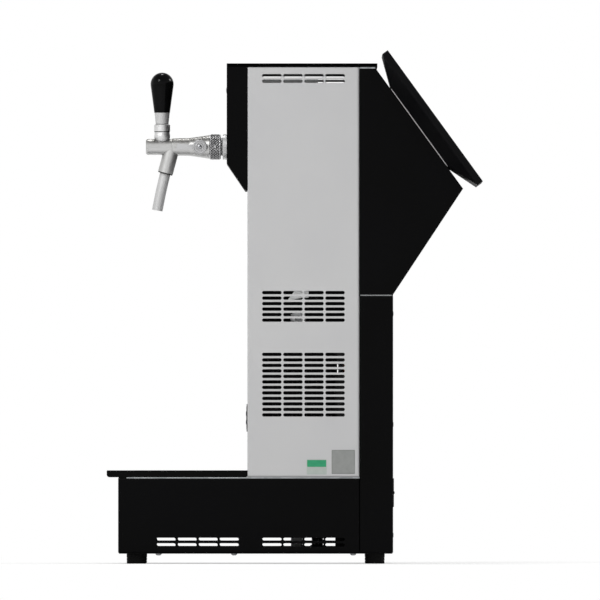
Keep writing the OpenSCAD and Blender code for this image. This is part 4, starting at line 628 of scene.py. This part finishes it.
# Rear housing and column: black folded sheet behind the tower, with a sloped face for the screen.
# Low black screws hold the column's rear panel on its folded returns; foam tape closes the joints above and below.
dress(black_coat, "housing_cheek_right", "housing_cheek_left", "housing_slope", "housing_underside",
      "column_side_right", "column_side_left", "column_back")
REAR_U = 385.0
facing_rear = Matrix.Rotation(-math.pi / 2, 4, "X")
black_zinc = plated("black zinc", "0c0c0d", "161618", "4a4a4d")
panel_screw = turned([(0, 0), (3.4, 0), (3.3, 0.25), (2.6, 0.5), (1.6, 0.6), (1.2, 0.55, six_sided),
                      (1.15, 0.15, six_sided), (0, 0.15)], steps=36)
PANEL_SCREW_X, PANEL_SCREW_Z = 131.0, (40.0, 195.0, 350.0)
rear_places = [Matrix.Translation((x / 1000, at(REAR_U), z / 1000)) @ facing_rear
               for x in (-PANEL_SCREW_X, PANEL_SCREW_X) for z in PANEL_SCREW_Z]
piece("column_panel_screws", panel_screw, black_zinc, "cabinet", rear_places)

# the pale grey of this tape is painted highlight: it stands for the light edge line along the joints at the column top
# and under the lid
highlight_grey_tape = Finish("grey foam tape, painted highlight", **{"Specular IOR Level": 0.1})
skin = highlight_grey_tape.put(graining, Scale=900.0, Tone_scale=60.0)
tone = highlight_grey_tape.span(skin.outputs["Tone"], 0.0, 1.0)
highlight_grey_tape.feed(highlight_grey_tape.mix(tone, ink("8a8b8c"), ink("989a9a")), "Base Color")
highlight_grey_tape.feed(highlight_grey_tape.span(skin.outputs["Tone"], 0.8, 0.92), "Roughness")
highlight_grey_tape.bump(skin.outputs["Height"], 0.0003)
COLUMN_TOP_Z, COLUMN_TAPE_X, COLUMN_TAPE_U = 375.05, 135.2, 361.2
PLUG_X, PLUG_U = 138.2, (338.3, 384.0)
LID_TAPE_X, LID_TAPE_U, LID_TAPE_Z = 134.5, 349.5, 693.05
SEAM_X, SEAM_U, SEAM_Z, SEAM_LIFT = 135.4, 342.0, 156.0, 378.0
piece("column_top_tape", tape(8.0, 44.0, 1.7), highlight_grey_tape.material, "cabinet",
      [Matrix.Translation((x / 1000, at(COLUMN_TAPE_U), COLUMN_TOP_Z / 1000)) for x in (-COLUMN_TAPE_X, COLUMN_TAPE_X)])
piece("column_top_plugs", tape(3.0, 1.8, 1.7), rubber.material, "cabinet",
      [Matrix.Translation((x / 1000, at(u), COLUMN_TOP_Z / 1000)) for x in (-PLUG_X, PLUG_X) for u in PLUG_U])
piece("lid_rear_tape", tape(8.0, 21.0, 2.35), highlight_grey_tape.material, "cabinet",
      [Matrix.Translation((x / 1000, at(LID_TAPE_U), LID_TAPE_Z / 1000)) for x in (-LID_TAPE_X, LID_TAPE_X)])
upright = Matrix.Translation((0, 0, SEAM_LIFT / 1000)) @ Matrix.Rotation(math.pi / 2, 4, "X")
piece("housing_seam_tape", tape(6.0, 312.0, 3.5), rubber.material, "cabinet",
      [Matrix.Translation((x / 1000, at(SEAM_U), SEAM_Z / 1000)) @ upright for x in (-SEAM_X, SEAM_X)])

# Screen: a flat display with a moulded tapered back, a thin bezel and a dark anti-glare pane, bolted to the slope.
# A film under the glass gives the darker border round the picture area; the screen is off.
SLOPE_U, SLOPE_Z, SLOPE_DEG = 361.0, 693.0, 54.0
SCREEN_MID, GLASS_N = 102.3, 27.8
screen_plastic = moulded("black screen moulding", "08080a", "0d0d0e", "242426", 1800.0, 0.00005, (0.4, 0.52))
dress(screen_plastic, "screen_back", "screen_bezel")
dress(gloss_black("anti-glare glass", 0.34, 0.03), "screen_glass")
on_slope = Matrix.Translation((0, at(SLOPE_U), SLOPE_Z / 1000)) @ Matrix.Rotation(math.radians(-SLOPE_DEG), 4, "X")
picture = Finish("switched-off picture area", **{"Specular IOR Level": 0.035})
skin = picture.put(graining, Scale=4000.0, Tone_scale=6.0)
picture.feed(picture.mix(picture.span(skin.outputs["Tone"], 0.0, 1.0), ink("15171b"), ink("1b1e23")), "Base Color")
picture.feed(picture.span(skin.outputs["Tone"], 0.32, 0.4), "Roughness")
piece("screen_picture_area", plate(352.0, 202.6, 0.12, 1.5), picture.material, "cabinet",
      [on_slope @ Matrix.Translation((0, SCREEN_MID / 1000, GLASS_N / 1000))])
dress(galvanised.material, "mount_screws")

# Mains inlet and switch: a black moulding in the column's rear with three nickel-plated blades in its socket.
# A glossy rocker sits beside the socket, and two small black screws hold the moulding to the panel.
INLET_Z, INLET_PLATE = 99.45, 386.2
SOCKET_X, BLADE_PITCH, BLADE_U = 83.0, 7.0, 375.5
INLET_SCREW_X = (67.6, 122.4)
inlet_plastic = moulded("black inlet moulding", "0c0c0d", "111112", "2c2c2e", 2000.0, 0.00004)
dress(inlet_plastic, "power_inlet")
dress(gloss_black("black rocker", 0.22, 0.3), "power_switch")
nickel = bright_metal("nickel blades", "9c9da0", "b0b1b4", (2400.0, 50.0, 2400.0))
blade = bmesh.new()
bmesh.ops.create_cube(blade, size=1.0, matrix=Matrix.Diagonal((0.0022, 0.0112, 0.0082, 1.0)))
bmesh.ops.bevel(blade, geom=blade.edges[:], offset=0.0004, segments=2, affect="EDGES", clamp_overlap=True)
blade_places = [Matrix.Translation(((SOCKET_X + x) / 1000, at(BLADE_U), INLET_Z / 1000))
                for x in (-BLADE_PITCH, 0, BLADE_PITCH)]
piece("inlet_blades", blade, nickel, "cabinet", blade_places)
small_screw = turned([(0, -0.3), (0.7, -0.3, six_sided), (0.75, 0.8, six_sided), (1.2, 1.0), (1.7, 0.7), (1.9, 0),
                      (0, 0)][::-1], steps=24)
piece("inlet_screws", small_screw, black_zinc, "cabinet",
      [Matrix.Translation((x / 1000, at(INLET_PLATE), INLET_Z / 1000)) @ facing_rear for x in INLET_SCREW_X])

# Controller: a panel-mounted thermostat in a black moulded bezel, set into the tower front.
# A dark membrane with a smoked window and four raised keys is stuck on its face.
CONTROL_U, CONTROL_Z, MEMBRANE_T = 179.7, 204.3, 0.3
WINDOW_X, KEY_X, KEY_Z = -16.0, (10.5, 25.5), (-6.0, 6.0)
dress(moulded("black controller bezel", "0b0b0c", "101011", "2c2c2e", 2000.0, 0.00004), "control_plate")
facing_front = Matrix(((1, 0, 0, 0), (0, 0, -1, at(CONTROL_U)), (0, 1, 0, CONTROL_Z / 1000), (0, 0, 0, 1)))
piece("controller_membrane", plate(72.0, 32.0, MEMBRANE_T, 3.0), film("dark grey membrane", "232427", "2a2b2f"),
      "cabinet", [facing_front])
piece("controller_window", plate(33.0, 15.0, 0.25, 1.2), gloss_black("smoked window", 0.06, 0.4),
      "cabinet",
      [facing_front @ Matrix.Translation((WINDOW_X / 1000, 0, MEMBRANE_T / 1000))])
key = turned([(0, 0.75), (2.2, 0.7), (3.0, 0.5), (3.4, 0.2), (3.5, 0), (0, 0)][::-1], steps=32)
piece("controller_keys", key, film("grey key film", "4a4c50", "54565a"), "cabinet",
      [facing_front @ Matrix.Translation((x / 1000, z / 1000, MEMBRANE_T / 1000)) for x in KEY_X for z in KEY_Z])

# Tap shank and union nut: a nickel-plated threaded shank through the hood, held inside by a hexagon locknut.
# The diamond-knurled union nut draws the tap on to it; a bright pin sits in its blind hole for a hook spanner.
TAP_Z, NUT_U0, NUT_U1, STEP_U = 584.9, 127.4, 143.4, 139.4
NUT_R, KNURLS, KNURL_PITCH, KNURL_DEEP = 18.1, 28, 4.0, 1.3
DRILL_X, PIN_X, THREAD_U = 14.3, 14.8, (143.5, 144.6)
EVEN = (900.0, 900.0, 900.0)
# satin nickel carries strong painted shade on its tops and painted shade in its corners
satin_nickel = bright_metal("satin nickel", "bebebd", "c8c8c7", EVEN, (0.36, 0.46), 0.000006, edge_wear_highlight_amount=0.3,
                            painted_shade_reach=0.003, tarnish_and_painted_top_shade=1.7)
# knurled nut: strong painted shade in the knurl valleys and painted highlight on the crests
painted_shade_knurl_nickel = bright_metal("knurled nickel", "c0c0c1", "cccccd", EVEN, (0.36, 0.46), edge_wear_highlight_tone="f2f2f2",
                           edge_wear_highlight_amount=1.0, painted_shade_reach=0.003, painted_shade_band=(0.06, 0.3))
pale_nickel = bright_metal("pale nickel", "bebebf", "cacacb", EVEN, (0.4, 0.5))
bare_nickel = bright_metal("bare nickel", "d2d2d2", "dcdcdc", EVEN, (0.45, 0.55), painted_shade_reach=0.0006)
dress(satin_nickel, "shank_locknut")
dress(bare_nickel, "tap_shank")


def along_depth(u, z=TAP_Z):
    """Place on the tap's own axis: a turned form's +Z runs to the rear."""
    return Matrix.Translation((0, at(u), z / 1000)) @ Matrix.Rotation(-math.pi / 2, 4, "X")


def out_of_nut(x):
    """Place at the middle of the nut, pointing out of its right side."""
    return (Matrix.Translation((x / 1000, at((NUT_U0 + NUT_U1) / 2), TAP_Z / 1000))
            @ Matrix.Rotation(math.pi / 2, 4, "Y"))


def knurl(height):
    """Ring shape of a diamond knurl at a height along the nut."""
    def reach(angle):
        turn = KNURLS * angle / (2 * math.pi)
        low = min(abs((turn + side * height / KNURL_PITCH) % 1.0 - 0.5) for side in (-1, 1))
        return 1 - KNURL_DEEP / NUT_R * (1 - 2 * low)
    return reach


nut_l = NUT_U1 - NUT_U0
band = [1.5 + 0.4 * i for i in range(1, 32)]
nut_profile = [(12.05, 0.3), (16.6, 0.3), (17.3, 0.9), (17.3, 1.5)] + [(NUT_R, h, knurl(h)) for h in band] + [
    (17.3, nut_l - 1.5), (17.3, nut_l - 0.7), (16.8, nut_l), (12.05, nut_l), (12.05, STEP_U - NUT_U0),
    (14.0, STEP_U - NUT_U0), (14.0, 4.0), (12.05, 4.0)]
nut = piece("union_nut", turned(nut_profile, 8 * KNURLS, True), painted_shade_knurl_nickel, "cabinet",
            [along_depth(NUT_U0)], 25)
drill_form = turned([(0, 0), (2, 0), (2, 8), (0, 8)], 32)
drill = piece("spanner_drill", drill_form, satin_nickel, "cabinet",
              [out_of_nut(DRILL_X)])
drilling = nut.modifiers.new("spanner hole", "BOOLEAN")
drilling.object = drill
drilling.operation = "DIFFERENCE"
bpy.context.view_layer.update()
drilled = bpy.data.meshes.new_from_object(nut.evaluated_get(bpy.context.evaluated_depsgraph_get()))
nut.modifiers.clear()
nut.data = drilled
bpy.data.objects.remove(drill)
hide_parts("tap_nut")
nut_pin = turned([(0, 1.6), (0.5, 1.6, six_sided), (0.55, 2.6, six_sided), (1.2, 2.75), (1.75, 2.5), (1.92, 1.9),
                  (1.92, 0), (0, 0)][::-1], 36)
piece("nut_pin", nut_pin, bare_nickel, "cabinet",
      [out_of_nut(PIN_X)])
thread = turned([(11.6, 0), (12.65, 0.6), (12.65, 0.8), (11.6, 1.4)], 64, True)
piece("shank_thread", thread, bare_nickel, "cabinet", [along_depth(u) for u in THREAD_U])

# Tap body and spout: a turned and plated brass body with a flow boss, and a drawn stainless spout pushed into it.
# A black sealing ring shows where the spout leaves the body.
SPOUT_U, SPOUT_TILT, BOSS_L = 75.3, 15.0, 37.8
dress(satin_nickel, "tap_body")
drawn_steel = bright_metal("drawn stainless spout", "bcbcbc", "c6c6c6", (2600.0, 2600.0, 60.0), (0.4, 0.5), share=0.65)
dress(drawn_steel, "tap_spout")
spout_place = (Matrix.Translation((0, at(SPOUT_U), TAP_Z / 1000))
               @ Matrix.Rotation(math.radians(180 - SPOUT_TILT), 4, "X"))
ring_form = turned([(7.65, 0), (10.0, 0), (10.35, 0.4), (10.2, 1.0), (9.6, 1.3), (7.65, 1.3)], 64, True)
piece("spout_sealing_ring", ring_form, rubber.material, "cabinet",
      [spout_place @ Matrix.Translation((0, 0, BOSS_L / 1000))])

# Tap handle: a ball lever with a turned collar and ferrule, and a polished black knob screwed on its stud.
# A thin black ring sits in the groove between lever and collar.
dress(bare_nickel, "tap_lever", "handle_collar")
ferrule_metal = bright_metal("turned ferrule", "c0c0c0", "cacaca", (1200.0, 1200.0, 1200.0), (0.52, 0.62),
                             painted_shade_reach=0.002, share=0.6)
dress(ferrule_metal, "handle_ferrule")
dress(gloss_black("polished knob", 0.12, 0.07), "handle_knob")
HANDLE_U, COLLAR_Z = 60.9, 606.4
collar_ring = turned([(9.9, -0.55), (10.75, -0.45), (10.95, 0.0), (10.75, 0.45), (9.9, 0.55)], 64, True)
piece("collar_ring", collar_ring, rubber.material, "handle",
      [Matrix.Translation((0, at(HANDLE_U), COLLAR_Z / 1000))])

# Tap inside: a turned brass piston with its valve head, pulled by the pin of the ball lever.
# The flow cone behind it is natural acetal and slides when the compensator lever turns.
dress(bright_metal("turned brass", "a8854a", "b9975c", (1500.0, 1500.0, 1500.0), edge_wear_highlight_tone="d9be8c"), "tap_piston")
acetal = moulded("natural acetal", "b9bbb9", "c6c8c6", "d6d8d6", 2200.0, 0.00003, (0.35, 0.48), 0.4)
dress(acetal, "compensator_cone")

# Flow compensator: a flat nickel-plated lever on a round hub at the tap's right side.
# Two raised rings are turned on the hub, and a small plated socket screw keeps it on its spindle.
COMP_U, HUB_X = 113.8, 21.8
dress(pale_nickel, "compensator_lever")
hub_place = Matrix.Translation((HUB_X / 1000, at(COMP_U), TAP_Z / 1000)) @ Matrix.Rotation(math.pi / 2, 4, "Y")
hub_ring = turned([(8.0, -0.2), (9.3, -0.2), (9.3, 0.35), (9.0, 0.6), (8.3, 0.6), (8.0, 0.35)], 64, True)
piece("compensator_hub_ring", hub_ring, pale_nickel, "compensator", [hub_place])
inner_ring = turned([(4.6, -0.2), (5.6, -0.2), (5.6, 0.3), (5.4, 0.5), (4.8, 0.5), (4.6, 0.3)], 48, True)
piece("compensator_inner_ring", inner_ring, pale_nickel, "compensator", [hub_place])
hub_screw = turned([(0, 0.5), (0.9, 0.5, six_sided), (0.95, 1.15, six_sided), (1.3, 1.3), (2.2, 1.0), (2.8, 0.4),
                    (2.9, -0.2), (0, -0.2)][::-1], 36)
piece("compensator_hub_screw", hub_screw, nickel, "compensator", [hub_place])

# Compressor: a sealed shell of pressed steel with a relay cover, in black enamel.
# It stands on four pale rubber mounts that are fixed to the floor pan.
dress(powder_coat("compressor enamel", "0a0a0b", "101012", "3a3a3c", 500.0, 0.00006, (0.3, 0.42), 0.2), "compressor")
mount_rubber = moulded("pale mount rubber", "c2c3c4", "cccdce", "d8d9da", 1400.0, 0.0001, (0.7, 0.85), 0.15)
dress(mount_rubber, "compressor_mounts")

# Condenser and fan: a black-painted fin pack on tubes, with a pressed shroud, a small motor and plastic blades.
# Folded foils between the fins break the air stream and close the view through the pack.
# The pack stands on a galvanised tray, and two rubber seals close the gap beside it along the side panel.
fin_coat = powder_coat("black fin paint", "0b0b0c", "121214", "38383a", 900.0, 0.00004, (0.45, 0.6), 0.25)
dress(fin_coat, "condenser", "fan_shroud")
FINS, FIN_U0, FIN_U1, FIN_X0, FIN_X1, FIN_Z0, FIN_Z1 = 18, 189.4, 304.6, 96.8, 127.2, 204.4, 298.6
FOLD, FOIL_HALF = 2.95, 0.12
END_PLATE_X, END_PLATE_U, END_PLATE_Z = 112.0, 305.0, 251.5
AIR_SEAL_W, AIR_SEAL_T, AIR_SEAL_U, AIR_SEAL_IN = 29.2, 6.4, 320.6, -8.2
foils = bmesh.new()
fin_pitch = (FIN_U1 - FIN_U0) / (FINS - 1)
for i in range(FINS - 1):
    middle = FIN_U0 + (i + 0.5) * fin_pitch
    line = [(FIN_X0 + (FIN_X1 - FIN_X0) * k / 8, middle + (FOLD if k % 2 else -FOLD)) for k in range(9)]
    loop = [(x, u - FOIL_HALF) for x, u in line] + [(x, u + FOIL_HALF) for x, u in reversed(line)]
    low = [foils.verts.new((x / 1000, at(u), FIN_Z0 / 1000)) for x, u in loop]
    high = [foils.verts.new((x / 1000, at(u), FIN_Z1 / 1000)) for x, u in loop]
    for ring in (list(reversed(low)), high):
        for k in range(8):
            foils.faces.new([ring[k], ring[k + 1], ring[16 - k], ring[17 - k]])
    for k in range(18):
        j = (k + 1) % 18
        foils.faces.new((low[k], low[j], high[j], high[k]))
bmesh.ops.recalc_face_normals(foils, faces=foils.faces)
piece("condenser_foils", foils, fin_coat, "cabinet", crease=20)
end_plate = plate(FIN_X1 - FIN_X0 + 1.6, FIN_Z1 - FIN_Z0 + 1.6, 1.7, 1.5)
piece("condenser_end_plate", end_plate, fin_coat, "cabinet",
      [Matrix(((-1, 0, 0, END_PLATE_X / 1000), (0, 0, 1, at(END_PLATE_U)), (0, 1, 0, END_PLATE_Z / 1000),
               (0, 0, 0, 1)))])
for name, high, middle in (("condenser_air_seal", 17.6, 290.4), ("condenser_air_seal_low", 62.0, 235.0)):
    piece(name, plate(AIR_SEAL_W, high, AIR_SEAL_T, 1.5), rubber.material, "cabinet",
          [on_right_side(AIR_SEAL_U, middle, AIR_SEAL_IN)])
dress(moulded("dark motor shell", "202123", "2a2b2e", "4c4d50"), "fan_motor")
dress(moulded("black fan moulding", "141416", "1c1c1f", rough=(0.35, 0.5)), "fan_blade")

# Relay box: a black moulded box against the tower's rear wall, over the condenser.
# A white nylon terminal cover and a grey nylon cable gland reach out from it, close behind the middle vents,
# so they show through the slots.
dress(moulded("black relay box", "0d0d0e", "131315"), "electrics_box")
BOX_X, COVER_X, GLAND_U, GLAND_Z = 100.0, 136.6, 251.9, 343.2
white_nylon = moulded("white nylon", "d8d9d8", "e4e5e4", "eeefee", 1800.0, 0.00003, (0.4, 0.5), 0.3)
grey_nylon = moulded("grey nylon", "a2a3a4", "aeafb0", "c4c5c6", 1800.0, 0.00003, (0.4, 0.5), 0.3)
cover = bmesh.new()
cover_line = [(236.0, 367.5), (247.1, 382.4), (266.8, 382.4), (266.8, 372.4), (257.5, 372.4)]
near = [cover.verts.new((BOX_X / 1000, at(u), z / 1000)) for u, z in cover_line]
far = [cover.verts.new((COVER_X / 1000, at(u), z / 1000)) for u, z in cover_line]
cover.faces.new(near)
cover.faces.new(list(reversed(far)))
for k in range(5):
    cover.faces.new((near[k], far[k], far[(k + 1) % 5], near[(k + 1) % 5]))
bmesh.ops.recalc_face_normals(cover, faces=cover.faces)
bmesh.ops.bevel(cover, geom=cover.edges[:], offset=0.0006, segments=2, affect="EDGES", clamp_overlap=True)
piece("terminal_cover", cover, white_nylon, "cabinet")
gland = turned([(0, 0), (11.5, 0, six_sided), (11.5, 7, six_sided), (8.6, 7.2), (8.6, 12), (10.6, 12.4), (10.8, 26),
                (9.6, 32), (7.4, 35.2), (4.2, 35.6), (3.8, 30), (0, 30)], 60)
piece("cable_gland", gland, grey_nylon, "cabinet",
      [Matrix.Translation((BOX_X / 1000, at(GLAND_U), GLAND_Z / 1000)) @ Matrix.Rotation(math.pi / 2, 4, "Y")])

# Cold block: a cast aluminium block with the beer coil inside, carried by a galvanised shelf.
# A box and a lid of white closed-cell foam, cut to fit, wrap it.


def foam(name, deep, light):
    """Closed-cell foam: small open bubbles on the cut face, darkened inside with painted shade."""
    soft = Finish(name, **{"Specular IOR Level": 0.1})
    cell = soft.put(spangling, Scale=420.0)
    skin = soft.put(graining, Scale=300.0, Tone_scale=20.0)
    tone = soft.mix(soft.span(skin.outputs["Tone"], 0.0, 1.0), ink(deep), ink(light))
    # painted shade in the bubble pits
    soft.feed(soft.mix(soft.span(cell.outputs["Height"], 0.25, 0.0, 0.0, 0.5), tone, ink("8b8c8c")), "Base Color")
    soft.feed(soft.span(skin.outputs["Tone"], 0.8, 0.92), "Roughness")
    soft.bump(cell.outputs["Height"], 0.0004)
    return soft.material


dress(foam("white foam", "d6d7d7", "dedfdf"), "insulation", "insulation_lid")
dress(bright_metal("cast aluminium", "a9abad", "b9bbbd", (300.0, 300.0, 300.0), (0.4, 0.55), 0.00008), "cold_block")

# Beer inlet and line: a push-in acetal fitting that sits in the floor pan.
# A pale plastic tube runs from it up to the cold block.
dress(acetal, "beer_inlet")
dress(moulded("pale beer tube", "a9b1b5", "b6bec2", "c6cdd0", 1800.0, 0.00002, (0.25, 0.35), 0.5), "beer_line")

# Pipes: soft copper tube between compressor, condenser and cold block, bent to shape and brazed at the ends.
# Heat and handling have darkened it in patches.
tarnish_and_painted_top_shade = Finish("copper pipe", Metallic=1.0)
lines = tarnish_and_painted_top_shade.put(brushing)
lines.inputs["Stretch"].default_value = (700.0, 700.0, 90.0)
patch = tarnish_and_painted_top_shade.put(dust_and_painted_top_shade, Amount=0.6, Scale=60.0)
tone = tarnish_and_painted_top_shade.mix(tarnish_and_painted_top_shade.span(lines.outputs["Tone"], 0.0, 1.0), ink("7c4b31"), ink("935c3d"))
tarnish_and_painted_top_shade.feed(tarnish_and_painted_top_shade.mix(patch.outputs["Mask"], tone, ink("4a3226")), "Base Color")
tarnish_and_painted_top_shade.feed(tarnish_and_painted_top_shade.span(lines.outputs["Tone"], 0.24, 0.42), "Roughness")
tarnish_and_painted_top_shade.bump(lines.outputs["Height"], 0.00002)
dress(tarnish_and_painted_top_shade.material, "suction_pipe", "discharge_pipe", "liquid_line")
